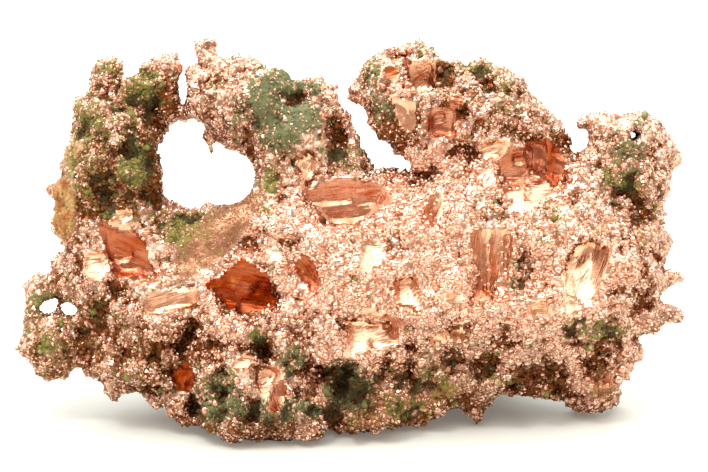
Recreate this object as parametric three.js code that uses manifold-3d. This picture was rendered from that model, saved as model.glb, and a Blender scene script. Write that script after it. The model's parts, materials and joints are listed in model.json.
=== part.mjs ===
// A nugget of native copper, built as the one solid that it grew as.
//
// The nugget is a thick, ragged plate. Its left arm, middle arm and right arm rise from a common
// body, the left and middle arms meet in a thin bridge and close a large natural hole, and a knobbly
// limb with small holes of its own reaches out low on the left. It stands on a few worn feet.
//
// The shape is written in the plate's own directions, in millimetres: across is to the right, up is
// along the plate, and out is away from it, on the side of the good face. The plate leans back from
// upright by LEAN_DEG. Knobs are ellipsoids that run into each other. The large ones are blended into
// one rocky skin by marching cubes, and the small knobs and twigs are joined to it as solids.
import * as THREE from "three";
import { mergeVertices } from "three/addons/utils/BufferGeometryUtils.js";
import { ImprovedNoise } from "three/addons/math/ImprovedNoise.js";
import { MarchingCubes } from "three/addons/objects/MarchingCubes.js";
import Module from "manifold-3d";

const LEAN_DEG = 20; // the broad face leans back from upright by this much
const FLOOR_RISE = 1.7; // height of the resting plane above the plate's own origin
const SMALL_KNOB = 1.3; // knobs with a mean radius under this are joined on as solids
const TINY_KNOB = 0.8; // and those under this have the fewest facets
const BLEND = 0.9; // how widely two large knobs run into each other
const SWELL = 0.3; // makes up for what the flat facets cut off
const LUMPS = { depth: 0.55, spacing: 5.5 }; // coarse unevenness of the skin
const BUMPS = { depth: 0.3, spacing: 2.6 }; // fine unevenness of the skin
const NOISE_SHIFT = 50; // keeps the unevenness clear of the noise's own zero planes
const CELL = 2.4; // side of one marching-cubes cell
const CELLS = 64; // cells along each side of the grid
const GRID_MIDDLE_UP = 24; // height of the grid's middle
const LEAST_DEPTH = 0.12 * CELL; // keeps the skin off the grid's corners, so no facet is a sliver
const FAR = 3 * CELL; // a distance that counts as well outside
const MOST_FACETS = 30000; // room kept for the skin
const TWIG_STEP = 0.5; // distance between a twig's knobs, as a part of its thickness
const TWIG_ROOT = 1.25; // thickness of a twig at its root and at its tip, as parts of the middle's
const TWIG_TIP = 0.75;
const FLOOR_BOX = { side: 200, height: 20 }; // larger than the nugget
const COPPER = 0xc98262;

const wasm = await Module();
wasm.setup();
const noise = new ImprovedNoise();

// ---------------------------------------------------------------- knobs
// Each row is one knob: across, up, out, then its half sizes across, up and out, then its turn in
// the plate's plane in degrees, positive towards the left. A row with one half size is round.

const LEFT_ARM = [
  [-31, 29.5, 0.5, 6.0, 5.5, 6.5],
  [-30.4, 34.5, 0.8, 5.9, 5.5, 6.2, 10],
  [-29.3, 39.5, 0.3, 5.2, 5, 5.6],
  [-29.3, 42.6, 0, 3.6, 3, 4.6],
  [-31.4, 46, -0.5, 1.6, 1.8, 2.2],
  [-30.7, 47.5, -0.6, 1.0],
  [-32.3, 46.9, -0.2, 0.8],
  [-31.9, 42.4, 0.8, 1.4, 2.2, 2.4],
  [-33.2, 38.6, 0.6, 1.7, 2.6, 3],
  [-35.2, 35.3, 0.2, 1.6, 2.6, 2.8],
  [-35.7, 32.2, 0.4, 1.9, 2.3, 3],
  [-37.6, 31.8, 0, 1.1, 0.65, 0.8],
  [-36.1, 28.4, 0, 1.7, 1.7, 2.2],
  [-34.4, 28.6, 0.6, 2.2, 2.4, 3.2],
  [-26.6, 37, 0.2, 2.4, 3.4, 4],
  [-26, 33.4, 0.6, 1.7, 2.2, 3.4],
  [-24.8, 34.3, -0.5, 0.9, 0.9, 1.6],
  [-26.3, 42.6, 0, 3, 2.4, 3.8],
  [-24.5, 45.6, 0, 2.5, 2.5, 3],
  [-23.8, 47.6, 0.3, 1.6, 1.5, 1.9],
  [-25.9, 46.4, 0.2, 1.2],
  [-24, 43.3, -0.4, 2, 2, 2.8],
  [-28.6, 44.4, 1.6, 1.8, 1.6, 2],
  [-31.2, 38.2, 4.6, 2.4, 2.2, 1.8],
  [-28.2, 35.4, 5.2, 2.2, 2.6, 1.7],
  [-32.5, 33.6, 5, 2.2, 2.4, 1.9],
  [-28.8, 31.2, 5.8, 2.4, 1.9, 1.7],
];

const BRIDGE = [
  [-24, 41.7, -0.4, 2, 1.1, 1.7],
  [-22.1, 41.6, -0.3, 1.6, 0.9, 1.3],
  [-20.4, 41.6, 0, 1.6, 1.0, 1.6],
];

const MIDDLE_ARM = [
  [-16.6, 44, 0, 4.4, 4.0, 4.6],
  [-18.3, 46.2, 0, 2.1, 2, 2.6],
  [-19.4, 44, 0.2, 1.9, 2.4, 2.6],
  [-18.7, 48.6, 0.2, 1, 1.5, 1.1],
  [-19.3, 49.8, 0.2, 0.85],
  [-18.2, 50.1, 0.4, 0.85],
  [-16.2, 48, 0.4, 1.3, 1.2, 1.6],
  [-14.4, 47.3, 0, 1.3, 1.3, 1.8],
  [-12.8, 47.6, 0.2, 1],
  [-12, 42.6, 1, 4.2, 4.6, 4.4],
  [-9, 43, 0.6, 4, 3.6, 4.2],
  [-6, 42.4, 0.2, 3.4, 3.3, 3.6],
  [-3.9, 44.3, 0, 1.9, 1.9, 2.3],
  [-2.6, 41.4, 0, 2.3, 2.3, 3],
  [-1.6, 38.8, -0.6, 2.0, 2.6, 3],
  [-0.9, 36.6, -0.8, 2.0, 2.0, 2.8],
  [-7.6, 38.4, 1, 4.2, 4.2, 4.6],
  [-10.8, 37, 0.6, 2.6, 3.4, 4],
  [-10.2, 33.6, 0.6, 2.5, 2.7, 4.4],
  [-4.2, 36.2, 1.6, 1.2, 3.2, 2.2],
  [-16.3, 40.4, 0, 2.1, 1.4, 2.2],
  [-14.8, 39.2, 0, 1.9, 1.5, 2.4],
  [-14.2, 37.5, 0.2, 1.2, 1.2, 1.6],
  [-9.8, 44, 3.6, 1.8, 2, 1.4],
  [-12.4, 39.8, 4.2, 1.6, 2.6, 1.4, -20],
  [-8.4, 40.8, 4.4, 1.6, 2.4, 1.2, 30],
];

const RIGHT_ARM = [
  [6, 43, 0, 4.9, 4.6, 5],
  [2.4, 46.2, 0, 1.5, 1.9, 2.2],
  [3.9, 47.6, 0, 1.5, 1.6, 2.2],
  [7.4, 47.8, 0, 2.4, 2.3, 2.8],
  [7.9, 50, 0, 1, 0.9, 1.2],
  [9.4, 48.3, 0, 1.3, 1.3, 1.8],
  [0.7, 44.2, 0, 1.8, 1.3, 1.8],
  [-0.6, 43.6, 0, 0.9, 0.7, 0.9],
  [10.2, 46.2, 0.2, 1.6, 1.7, 2.4],
  [13.6, 45.2, 0, 2.7, 2.2, 3.2],
  [16, 47.1, 0, 1.1, 1.1, 1.4],
  [17.9, 44.7, 0, 2.9, 2.5, 3.4],
  [20.3, 43.5, 0, 2.1, 2, 2.8],
  [22, 41.2, 0, 2, 1.8, 2.8],
  [24.3, 39.5, 0, 1.6, 1.4, 2.4],
  [26, 37.9, 0, 1.5, 1.3, 2.2],
  [12, 40.5, 0, 5.2, 4.6, 5.2],
  [18, 40, 0, 5, 4.4, 5.2],
  [22.5, 37.2, 0, 4.4, 3.3, 5],
  [8.4, 38, 0.6, 4.2, 3.6, 4.8],
  [3.5, 40.4, 0, 1.9, 1.9, 2.8],
  [2.8, 38.8, 0, 0.9, 0.8, 1.4],
  [5.6, 38.4, 0, 1.8, 1.5, 2.8],
  [7.9, 36.8, 0, 1.6, 1.8, 2.6],
  [8, 34.9, 0.2, 1.2, 1.3, 2],
  [7, 43.6, 4.2, 2.6, 2.2, 1.6],
  [14.8, 42, 4.2, 2.2, 2, 1.6],
  [19.4, 41.2, 4.3, 2.6, 1.8, 1.5],
];

const RIGHT_BLOCK = [
  [33.9, 36, -0.5, 4.1, 5, 5],
  [36.8, 37.2, -1, 3.3, 3.1, 3.6],
  [30.6, 40, -0.4, 2.2, 1.3, 2.2],
  [28.3, 40.2, -0.4, 1.2, 0.75, 1.1],
  [35.6, 40.2, -0.6, 1.7, 1.2, 1.8],
  [32.4, 38.8, -0.4, 2.2, 2, 3],
  [38.8, 34.8, -0.8, 1.8, 2.2, 2.2],
  [40, 36.2, -0.8, 0.9, 0.6, 0.8],
  [30.4, 33.4, -0.4, 3.8, 3, 5],
  [36.4, 31, -1, 2.5, 3, 4],
  [36.6, 27.5, -1, 2.1, 2.6, 3.6],
  [37.2, 24.3, -1, 2, 2.4, 3.4],
  [37, 19.6, -1.2, 1.9, 2.6, 3],
  [39.3, 20.5, -1, 1.9, 0.6, 0.8, 20],
  [36.6, 16.4, -1.2, 1.9, 2.3, 3],
  [39, 16.4, -1, 1.7, 0.9, 1.2],
  [40.6, 16, -1, 0.85],
  [34, 13.4, -1.4, 1.8, 2.6, 3.2],
];

const BODY = [
  [-14, 14.5, 0, 13, 11, 9.4],
  [0, 19.5, 0, 14, 12.5, 10],
  [12, 21.5, 0, 13, 12, 10],
  [23.5, 22, -0.5, 12, 12, 8.8],
  [31.8, 22.5, -0.8, 6.6, 10, 6.6],
  [-24, 16, -0.5, 10, 8, 7.4],
  [-30.6, 21.6, 0, 5.4, 5.6, 6],
  [-33.2, 26, 0, 2.8, 3.4, 4.6],
  [-0.6, 29.4, 0.6, 6, 4.8, 6.4],
  [4.4, 31.2, 0, 3.6, 2.9, 4.6],
  [17.5, 32, 0, 9, 4.6, 6.4],
  [-8, 27, 1, 6.4, 5, 7.4],
  [29, 28.5, -0.5, 6, 5.4, 6],
  [-22, 27.6, 0.2, 3, 2.4, 4.2],
  [-18.8, 27.4, 0, 2.4, 2.2, 3.6],
  [-16.4, 26.4, 0, 2.1, 2, 3.2],
  [-16.8, 25.6, 2.4, 7.8, 3, 3.6, 44],
  [-7, 33, 0, 2.8, 2.8, 4.4],
  [-25.4, 26, 0, 2.8, 2.8, 4.4],
  [-22.5, 24.6, 3.4, 2.6, 2, 2.6],
  [-4, 24.6, 6.4, 3.6, 2.8, 2.4],
  [8.6, 25.6, 6.8, 3.4, 3.8, 2.6],
  [22.6, 26.4, 5.4, 4, 2.6, 2.6],
  [29.4, 22, 4.8, 3.4, 3.6, 2.2],
  [20, 18.6, 6, 3.6, 3.8, 2.6],
  [9.4, 16.6, 7.4, 4, 3, 2.6],
  [-13.4, 11.4, 7.4, 4.4, 3.4, 3],
  [-24.6, 13.6, 5, 4.2, 3.2, 2.6],
  [-1.6, 13.6, 7.2, 3.4, 3.4, 2.8],
];

const LOW_LEFT_LIMB = [
  [-40.2, 17.6, 0, 1, 2.4, 1.3],
  [-39.2, 20, 0, 1.3, 1.1, 1.3],
  [-37.1, 20.2, 0, 1.8, 1.5, 1.8],
  [-35.6, 23, 0, 1.9, 2, 2.6],
  [-34.6, 20.2, 0, 2, 2.4, 3],
  [-40, 14.6, 0, 1.7, 1.8, 1.8],
  [-38.8, 12.4, 0.4, 2.6, 2.8, 3],
  [-38.1, 9.8, 0.4, 2.1, 1.9, 2.4],
  [-36.4, 13.2, 0.4, 2.4, 2.4, 3],
  [-37.9, 15.4, 0, 1.6, 1.3, 2],
  [-33.4, 14, 0, 3, 3.6, 4],
  [-31.2, 11, 0, 2.8, 2.6, 3.6],
  [-33.3, 9.9, 0.2, 1.1],
  [-30.3, 6.8, 0, 1.0, 1.3, 1.4],
  [-28, 9, 0, 3.4, 2.6, 4.4],
  [-25.3, 7.9, 0, 1.6, 1.3, 2.6],
];

const UNDERSIDE = [
  [-23, 6.9, 1, 1.9, 2.1, 3.2],
  [-21.7, 4.9, 1.6, 1.2, 1.3, 2],
  [-20, 4.4, 2, 1.8, 1.8, 3],
  [-18.4, 5, 2.4, 1.4, 1.8, 2.8],
  [-12, 5.2, 3.4, 6.2, 4.6, 5.6],
  [-13.6, 3.2, 4.4, 2.6, 3, 4.2],
  [-16.4, 3.9, 3.6, 1.8, 2.3, 3.4],
  [-8.6, 3.4, 4.2, 3, 3, 4.2],
  [-5, 4.8, 3, 2.4, 2.6, 4.2],
  [1, 5.4, 1, 3.9, 4, 5.4],
  [5.5, 6.2, 0, 4, 3.7, 5.4],
  [10.5, 7.8, -1, 4, 3.6, 5.4],
  [14.4, 8.2, -1.4, 3.4, 3.9, 5.2],
  [16.6, 5.6, -2, 0.9, 1.0, 1.4],
  [20.5, 10.6, -1, 4, 3.7, 5.6],
  [24, 9.8, -1.6, 3, 3.4, 5.4],
  [24.8, 6.8, -2, 0.9],
  [29.8, 8, -2.6, 3.2, 4.2, 4.6],
  [27.9, 5.3, -3.6, 1.4, 1.4, 2.2],
  [31.6, 6.2, -3, 1.6, 2.2, 3.2],
  [33.2, 11, -1.4, 2.1, 2.6, 4],
  [34.4, 9.8, -1.4, 0.8],
];

const BACK = [
  [-2, 14, -9, 14, 9, 8],
  [14, 17, -8.4, 11, 9, 6.6],
  [-16, 15.6, -7, 9, 8, 6],
  [2, 25, -8, 9, 7, 4.6],
  [-2.4, 34.2, -2.2, 2.6, 2.6, 3.2],
  [7, 9, -2, 5, 3.4, 6],
  [22, 24, -7, 8, 7, 4],
  [-30, 33, -4.6, 4, 6, 3],
  [-14, 43, -3.8, 4.4, 3.4, 2.4],
  [11, 42, -4.2, 5.4, 3.8, 2.6],
  [33, 34, -4, 3.6, 4.4, 2.6],
  [-26, 19, -6, 5, 5, 3.4],
  [-7, 8.6, -12, 6, 4, 5],
  [8, 10.4, -12.4, 6, 4.4, 4.6],
];

// Thin twigs of metal: each is a list of points, across, up and out, and the thickness in the middle.
const TWIGS = [
  { thick: 0.75, points: [[-20.2, 44.6, 0], [-21.1, 45.6, 0.1], [-21.3, 46.6, 0.2], [-21.8, 47.6, 0.2]] },
  { thick: 1.0, points: [[-16.6, 39.8, 0], [-17.4, 39, 0.2], [-18.7, 38.7, 0.3]] },
  { thick: 0.8, points: [[-17.8, 39, 0.2], [-18.3, 38.2, 0.3], [-18, 37.1, 0.3]] },
];

// Gaps that go right through, and deep notches: across, up, out and half sizes as for a knob.
const GAPS = [
  [35, 38.7, 0, 0.75, 0.7, 8],
  [-38.3, 17.5, 0, 1.2, 0.9, 6, 20],
  [-36, 17, 0, 1.3, 0.9, 6, -15],
  [-21.9, 44.6, 0, 0.5, 2.4, 6, 4],
  [-28.4, 47.4, 0, 1.5, 1.5, 6],
  [28.4, 38.3, 0, 0.9, 2.1, 8, -25],
  [-1.7, 44.9, 0, 0.6, 2.2, 8, 6],
  [-0.4, 42.8, 0, 1.5, 0.9, 8, -35],
  [1, 40.7, 0, 1.1, 2, 8],
  [2, 38.1, 0, 1.3, 1.9, 8],
  [3.6, 36.4, 0, 1.9, 1.5, 8],
  [6, 35, 0, 2, 1.1, 8, -20],
  [22.4, 6.2, 6, 2.6, 2, 8],
];

// Imprints of crystals that the copper grew round: the centre of a box-shaped crystal, its sizes,
// and its turns in degrees about the across, up and out directions.
const IMPRINTS = [
  { at: [-13.2, 19.4, 11.4], size: [8, 6.4, 6], turn: [38, -6, -8] },
  { at: [-1.2, 30.6, 8.2], size: [8.4, 5.6, 6], turn: [-32, 8, 12] },
  { at: [-5.4, 21.6, 10.8], size: [3.4, 4.6, 3.4], turn: [10, 36, 20] },
  { at: [16.6, 22.6, 11.2], size: [3.8, 8.6, 4.6], turn: [0, 24, -6] },
  { at: [20, 35.6, 7.6], size: [8.8, 4.6, 6], turn: [22, -10, -8] },
  { at: [28.6, 22.2, 9.0], size: [4.2, 6.4, 4], turn: [-10, -24, -4] },
  { at: [10.2, 30.2, 9.6], size: [3.4, 6, 4], turn: [0, 30, 28] },
  { at: [3, 13.4, 12.4], size: [6, 5, 4.4], turn: [-26, 12, 30] },
  { at: [-30.2, 23.6, 8.4], size: [7.6, 5.4, 4.6], turn: [-14, 16, -10] },
  { at: [-10.4, 8.4, 12.6], size: [7, 5.4, 4.4], turn: [-20, -14, 8] },
  { at: [11, 40.6, 7.6], size: [3.6, 3.2, 4], turn: [20, 30, 10] },
];

// Everything that grew, as one list of knobs.
const GROWN = [
  LEFT_ARM,
  BRIDGE,
  MIDDLE_ARM,
  RIGHT_ARM,
  RIGHT_BLOCK,
  BODY,
  LOW_LEFT_LIMB,
  UNDERSIDE,
  BACK,
];

// ---------------------------------------------------------------- the leaning plate

const plateToWorld = new THREE.Matrix4()
  .makeTranslation(0, 0, -FLOOR_RISE)
  .multiply(new THREE.Matrix4().makeRotationX(THREE.MathUtils.degToRad(-LEAN_DEG)));
const worldToPlate = plateToWorld.clone().invert();

// A frame placed in the plate: its x runs across, its y out of the back, and its z up.
function placing([across, up, out], turnDeg) {
  const turn = new THREE.Euler(...turnDeg.map(THREE.MathUtils.degToRad), "YXZ");
  const at = new THREE.Vector3(across, -out, up);
  return new THREE.Matrix4().compose(
    at,
    new THREE.Quaternion().setFromEuler(turn),
    new THREE.Vector3(1, 1, 1),
  );
}

function knobOf([across, up, out, a, b = a, c = a, turn = 0]) {
  const frame = placing([across, up, out], [0, -turn, 0]);
  return {
    radii: new THREE.Vector3(a, c, b),
    size: Math.cbrt(a * b * c),
    frame,
    inverse: frame.clone().invert(),
  };
}

// ---------------------------------------------------------------- the skin of the large knobs

const near = new THREE.Vector3();

// About how far a point is from the surface of an ellipsoid, negative inside it.
function distanceTo({ radii, inverse }, p) {
  near.copy(p).applyMatrix4(inverse).divide(radii);
  const k0 = near.length();
  if (k0 < 1e-6) return -Math.min(radii.x, radii.y, radii.z);
  return (k0 * (k0 - 1)) / near.divide(radii).length();
}

// The smaller of two distances, rounded off where they meet.
function blended(a, b) {
  const h = Math.max(BLEND - Math.abs(a - b), 0);
  return Math.min(a, b) - (h * h) / (4 * BLEND);
}

function unevenness(p, { depth, spacing }) {
  const along = (value) => value / spacing + NOISE_SHIFT;
  return depth * noise.noise(along(p.x), along(p.y), along(p.z));
}

function skin(knobs) {
  const half = CELLS / 2;
  const grid = new MarchingCubes(CELLS, undefined, false, false, MOST_FACETS);
  grid.isolation = 0;
  grid.reset();
  const point = new THREE.Vector3();
  for (let k = 1; k < CELLS - 1; k++) {
    for (let j = 1; j < CELLS - 1; j++) {
      for (let i = 1; i < CELLS - 1; i++) {
        point.set(i - half, j - half, k - half).multiplyScalar(CELL);
        point.z += GRID_MIDDLE_UP;
        point.applyMatrix4(worldToPlate);
        let distance = FAR;
        for (const knob of knobs) distance = blended(distance, distanceTo(knob, point));
        distance += unevenness(point, LUMPS) + unevenness(point, BUMPS) - SWELL;
        const depth = Math.max(Math.abs(distance), LEAST_DEPTH);
        grid.setCell(i, j, k, distance < 0 ? depth : -depth);
      }
    }
  }
  grid.update();
  const { attributes, drawRange } = grid.geometry;
  const corners = attributes.position.array.slice(0, drawRange.count * 3);
  return new THREE.BufferGeometry()
    .setAttribute("position", new THREE.BufferAttribute(corners, 3))
    .scale(half * CELL, half * CELL, half * CELL)
    .translate(0, 0, GRID_MIDDLE_UP);
}

// ---------------------------------------------------------------- making solids

// A closed surface as a solid. Only its positions are kept.
function solid(geometry) {
  geometry.deleteAttribute("normal");
  geometry.deleteAttribute("uv");
  const merged = mergeVertices(geometry);
  return new wasm.Manifold(
    new wasm.Mesh({
      numProp: 3,
      vertProperties: merged.attributes.position.array,
      triVerts: merged.index.array,
    }),
  );
}

const inWorld = (geometry, frame) =>
  geometry.applyMatrix4(new THREE.Matrix4().multiplyMatrices(plateToWorld, frame));

function knobSolid({ radii, size, frame }) {
  const ball = new THREE.IcosahedronGeometry(1, size < TINY_KNOB ? 0 : 1);
  return solid(inWorld(ball.scale(...radii), frame));
}

// A twig is a chain of knobs that overlap and thin out towards its tip.
function twigKnobs({ thick, points }) {
  const line = new THREE.CatmullRomCurve3(points.map((p) => new THREE.Vector3(...p)));
  const steps = Math.ceil(line.getLength() / (thick * TWIG_STEP));
  const radiusAt = (i) => (thick / 2) * THREE.MathUtils.lerp(TWIG_ROOT, TWIG_TIP, i / steps);
  return line.getSpacedPoints(steps).map((p, i) => knobOf([p.x, p.y, p.z, radiusAt(i)]));
}

function imprint({ at, size: [width, height, depth], turn: [aboutAcross, aboutUp, aboutOut] }) {
  const crystal = new THREE.BoxGeometry(width, depth, height);
  return solid(inWorld(crystal, placing(at, [aboutAcross, -aboutOut, aboutUp])));
}

// ---------------------------------------------------------------- growing the nugget

const knobs = GROWN.flat().map(knobOf);
const large = knobs.filter((knob) => knob.size >= SMALL_KNOB);
const small = knobs.filter((knob) => knob.size < SMALL_KNOB);

let nugget = solid(skin(large));
for (const knob of [...small, ...TWIGS.flatMap(twigKnobs)]) nugget = nugget.add(knobSolid(knob));
for (const gap of GAPS.map(knobOf)) nugget = nugget.subtract(knobSolid(gap));
for (const crystal of IMPRINTS) nugget = nugget.subtract(imprint(crystal));

// The feet are worn flat: everything under the resting plane is cut away.
const { side, height } = FLOOR_BOX;
const worn = new THREE.BoxGeometry(side, side, height).translate(0, 0, -height / 2);
nugget = nugget.subtract(solid(worn));

// ---------------------------------------------------------------- the part

const { vertProperties, triVerts } = nugget.getMesh();
const geometry = new THREE.BufferGeometry()
  .setAttribute("position", new THREE.BufferAttribute(vertProperties, 3))
  .setIndex(new THREE.BufferAttribute(triVerts, 1));

// The origin is under the middle of the nugget, at the height that it rests on.
geometry.computeBoundingBox();
const { min, max } = geometry.boundingBox;
geometry.translate(-(min.x + max.x) / 2, -(min.y + max.y) / 2, -min.z);
geometry.computeVertexNormals();

const copper = new THREE.MeshStandardMaterial({ color: COPPER, metalness: 1, roughness: 0.45 });
const mesh = new THREE.Mesh(geometry, copper);
mesh.name = "copper_nugget";

const part = new THREE.Group();
part.add(mesh);
export default part;
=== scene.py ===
# %% [markdown]
# # A native copper nugget
#
# Native copper is metal that grew in the rock by itself. This specimen is a ragged plate with three
# arms and a natural hole. Its skin is a crust of crystals, each a fraction of a millimetre across.
# Between them lie smooth, flat-walled pockets, the imprints of other crystals that the copper grew
# round, and green copper carbonate sits in the hollows.
#
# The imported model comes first. It fixes the nugget's size, place and large shapes.

# %% Load the fixed frame
import json
import math
import random

import bmesh
import bpy
import numpy as np
from mathutils import Euler, Matrix, Vector
from mathutils import noise as mathutils_noise
from mathutils.bvhtree import BVHTree

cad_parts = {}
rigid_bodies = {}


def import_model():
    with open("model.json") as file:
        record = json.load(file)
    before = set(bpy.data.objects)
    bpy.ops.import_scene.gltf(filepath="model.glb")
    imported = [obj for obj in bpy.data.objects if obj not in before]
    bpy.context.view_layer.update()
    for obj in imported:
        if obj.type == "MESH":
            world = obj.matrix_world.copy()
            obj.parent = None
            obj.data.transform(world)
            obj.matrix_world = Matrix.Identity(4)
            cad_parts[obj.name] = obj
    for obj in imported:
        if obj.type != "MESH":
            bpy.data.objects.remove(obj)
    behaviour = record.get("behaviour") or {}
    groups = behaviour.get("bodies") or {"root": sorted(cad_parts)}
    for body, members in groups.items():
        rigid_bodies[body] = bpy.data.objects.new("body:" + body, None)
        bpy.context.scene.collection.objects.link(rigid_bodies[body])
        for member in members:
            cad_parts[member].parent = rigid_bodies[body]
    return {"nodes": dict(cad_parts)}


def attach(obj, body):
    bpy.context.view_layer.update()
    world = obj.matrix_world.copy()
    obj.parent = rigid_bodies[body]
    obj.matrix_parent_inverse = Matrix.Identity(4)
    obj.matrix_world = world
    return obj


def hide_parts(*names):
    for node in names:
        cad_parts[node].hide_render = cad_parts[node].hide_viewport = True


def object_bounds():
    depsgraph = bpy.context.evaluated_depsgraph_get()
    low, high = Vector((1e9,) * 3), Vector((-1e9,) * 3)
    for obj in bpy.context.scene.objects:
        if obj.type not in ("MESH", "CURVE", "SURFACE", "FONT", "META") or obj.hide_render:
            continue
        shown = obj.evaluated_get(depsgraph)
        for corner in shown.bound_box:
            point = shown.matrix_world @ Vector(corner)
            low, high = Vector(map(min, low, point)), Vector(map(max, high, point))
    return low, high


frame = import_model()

MM = 0.001
CAD_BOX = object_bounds()
scene = bpy.context.scene
print("frame box in mm:", [[round(c / MM, 1) for c in corner] for corner in CAD_BOX])

# %% [markdown]
# ## The plate's own directions
#
# The broad plate leans back by 20 degrees. Everything on its face is easier to place in the plate's
# own directions, in millimetres: across to the right, up along the plate, and out of the good face.
# Two small functions turn those into Blender's metres and back.

# %% Plate coordinates
LEAN = math.radians(20)
UP = Vector((0, math.sin(LEAN), math.cos(LEAN)))
OUT = Vector((0, -math.cos(LEAN), math.sin(LEAN)))
# The plate's origin, measured from the frame's left end, its front and its foot.
PLATE_ORIGIN = CAD_BOX[0] + Vector((41.75, 7.48, -1.7)) * MM


def at(across, up, out=0.0):
    return PLATE_ORIGIN + (Vector((1, 0, 0)) * across + UP * up + OUT * out) * MM


def plate_coords(points):
    """Across, up and out, in millimetres, of an array of points."""
    p = (points - np.array(PLATE_ORIGIN)) / MM
    return p[:, 0], p @ np.array(UP), p @ np.array(OUT)


print("plate origin in mm:", [round(c / MM, 2) for c in PLATE_ORIGIN])

# %% [markdown]
# ## Places on the face
#
# Pits, coloured patches and smooth ground are all lists of soft ellipses on the face: across, up, half
# sizes across and up, a turn in degrees to the left, and an amount. One function spreads such a list
# over any set of points. Another tells the good face from the back.

# %% Soft ellipses


def spread(rows, across, up, edge=0.5):
    """The largest amount of any row at each point. It falls off over the outer share of each ellipse."""
    total = np.zeros(len(across))
    for a, u, half_a, half_u, turn, amount in rows:
        c, s = math.cos(math.radians(turn)), math.sin(math.radians(turn))
        da, du = across - a, up - u
        d = np.hypot((da * c + du * s) / half_a, (du * c - da * s) / half_u)
        fall = np.clip((1 + edge - d) / (2 * edge), 0, 1)
        total = np.maximum(total, amount * fall * fall * (3 - 2 * fall))
    return total


def front(out, lowest=-1.5):
    """1 on the good face, falling to 0 towards the back."""
    return np.clip((out - lowest) / 2.0, 0, 1)


trial = spread([(0, 0, 1, 1, 0, 1)], np.array([0, 0.75, 1, 1.25, 2]), np.zeros(5))
print("a soft circle from its middle outwards:", trial.round(2))

# %% [markdown]
# ## The body
#
# The frame's solid is coarse and its triangles are loose. A copy is merged and remeshed to a fine, even
# skin, and then shaped in two rounds as a sculptor would. The first round swells rounded lumps and
# pushes the pits in, and a second remesh melts them together, overhangs and all. The second round
# breaks the skin up into millimetre crumbs. Modifiers are applied as they come, so each step starts
# from real points.

# %% Copy and remesh the solid
VOXEL_COARSE = 0.45 * MM


def new_object(name, bm):
    mesh = bpy.data.meshes.new(name)
    bm.to_mesh(mesh)
    bm.free()
    obj = bpy.data.objects.new(name, mesh)
    scene.collection.objects.link(obj)
    return obj


def bake(obj):
    """Applies every modifier of an object to its mesh."""
    graph = bpy.context.evaluated_depsgraph_get()
    mesh = bpy.data.meshes.new_from_object(obj.evaluated_get(graph))
    old = obj.data
    obj.modifiers.clear()
    obj.data = mesh
    bpy.data.meshes.remove(old)


def remesh(obj, voxel):
    mod = obj.modifiers.new("Remesh", "REMESH")
    mod.mode = "VOXEL"
    mod.voxel_size = voxel
    bake(obj)


bm = bmesh.new()
bm.from_mesh(frame["nodes"]["copper_nugget"].data)
bmesh.ops.remove_doubles(bm, verts=bm.verts, dist=1e-7)
body = new_object("nugget_body", bm)
body.data.materials.clear()
remesh(body, VOXEL_COARSE)
print("remeshed solid:", len(body.data.polygons), "faces")

# %% [markdown]
# ## Rough and smooth ground
#
# Some ground stays smooth, some parts are too thin to carve, and some of the rest swells into separate
# knobs. The amounts in these lists run from 0 to 1. They become vertex groups, which tell a Displace
# modifier how far it may push each point.

# %% Kinds of ground
# Ground that stays smooth and carries no grains.
SMOOTH = [
    (-17.3, 26.3, 8.0, 2.9, 46, 1.0),
    (-23.6, 18.2, 2.6, 1.5, 12, 0.75),
    (-28.0, 24.2, 2.8, 2.6, 0, 0.9),
    (-28.9, 28.0, 1.4, 1.6, 30, 0.9),
    (-32.4, 22.6, 1.4, 1.6, 20, 0.9),
    (-36.2, 32.8, 1.4, 4.0, 5, 0.3),
    (-35.6, 37.0, 1.0, 2.4, -15, 0.35),
    (-10.2, 41.4, 1.8, 5.0, 38, 0.4),
    (-6.4, 39.8, 2.2, 3.2, 35, 0.4),
    (-9.4, 45.4, 2.8, 1.4, -10, 0.35),
    (-4.1, 36.6, 1.0, 2.4, 0, 0.7),
    (-6.4, 34.6, 1.6, 1.3, 0, 0.8),
    (22.4, 32.4, 4.4, 1.2, 0, 0.8),
    (-14.4, 9.9, 1.5, 1.2, 0, 0.9),
    (-10.4, 8.0, 3.2, 2.2, 10, 0.7),
    (-21.2, 7.8, 1.4, 1.2, 0, 0.8),
]
# Thin parts, where the lumps and crumbs are held back so that they do not eat the metal away.
THIN = [
    (-40.2, 16.6, 2.0, 3.4, 0, 0.85),
    (-37.0, 17.6, 3.4, 2.6, 0, 0.8),
    (-22.0, 42.0, 3.6, 1.6, 0, 0.7),
    (-18.6, 49.6, 1.8, 1.8, 0, 0.85),
    (-21.2, 46.2, 1.6, 2.4, 0, 0.9),
    (-17.6, 38.4, 2.4, 2.2, 0, 0.85),
    (-38.0, 31.8, 1.6, 1.2, 0, 0.8),
    (29.4, 40.2, 3.4, 1.2, 0, 0.8),
    (35.0, 38.8, 2.4, 2.4, 0, 0.8),
    (40.0, 20.6, 2.4, 1.2, 20, 0.9),
    (40.2, 16.2, 2.4, 1.6, 0, 0.9),
    (16.6, 5.4, 1.6, 1.4, 0, 0.7),
    (-30.4, 6.4, 1.6, 1.8, 0, 0.7),
]
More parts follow.
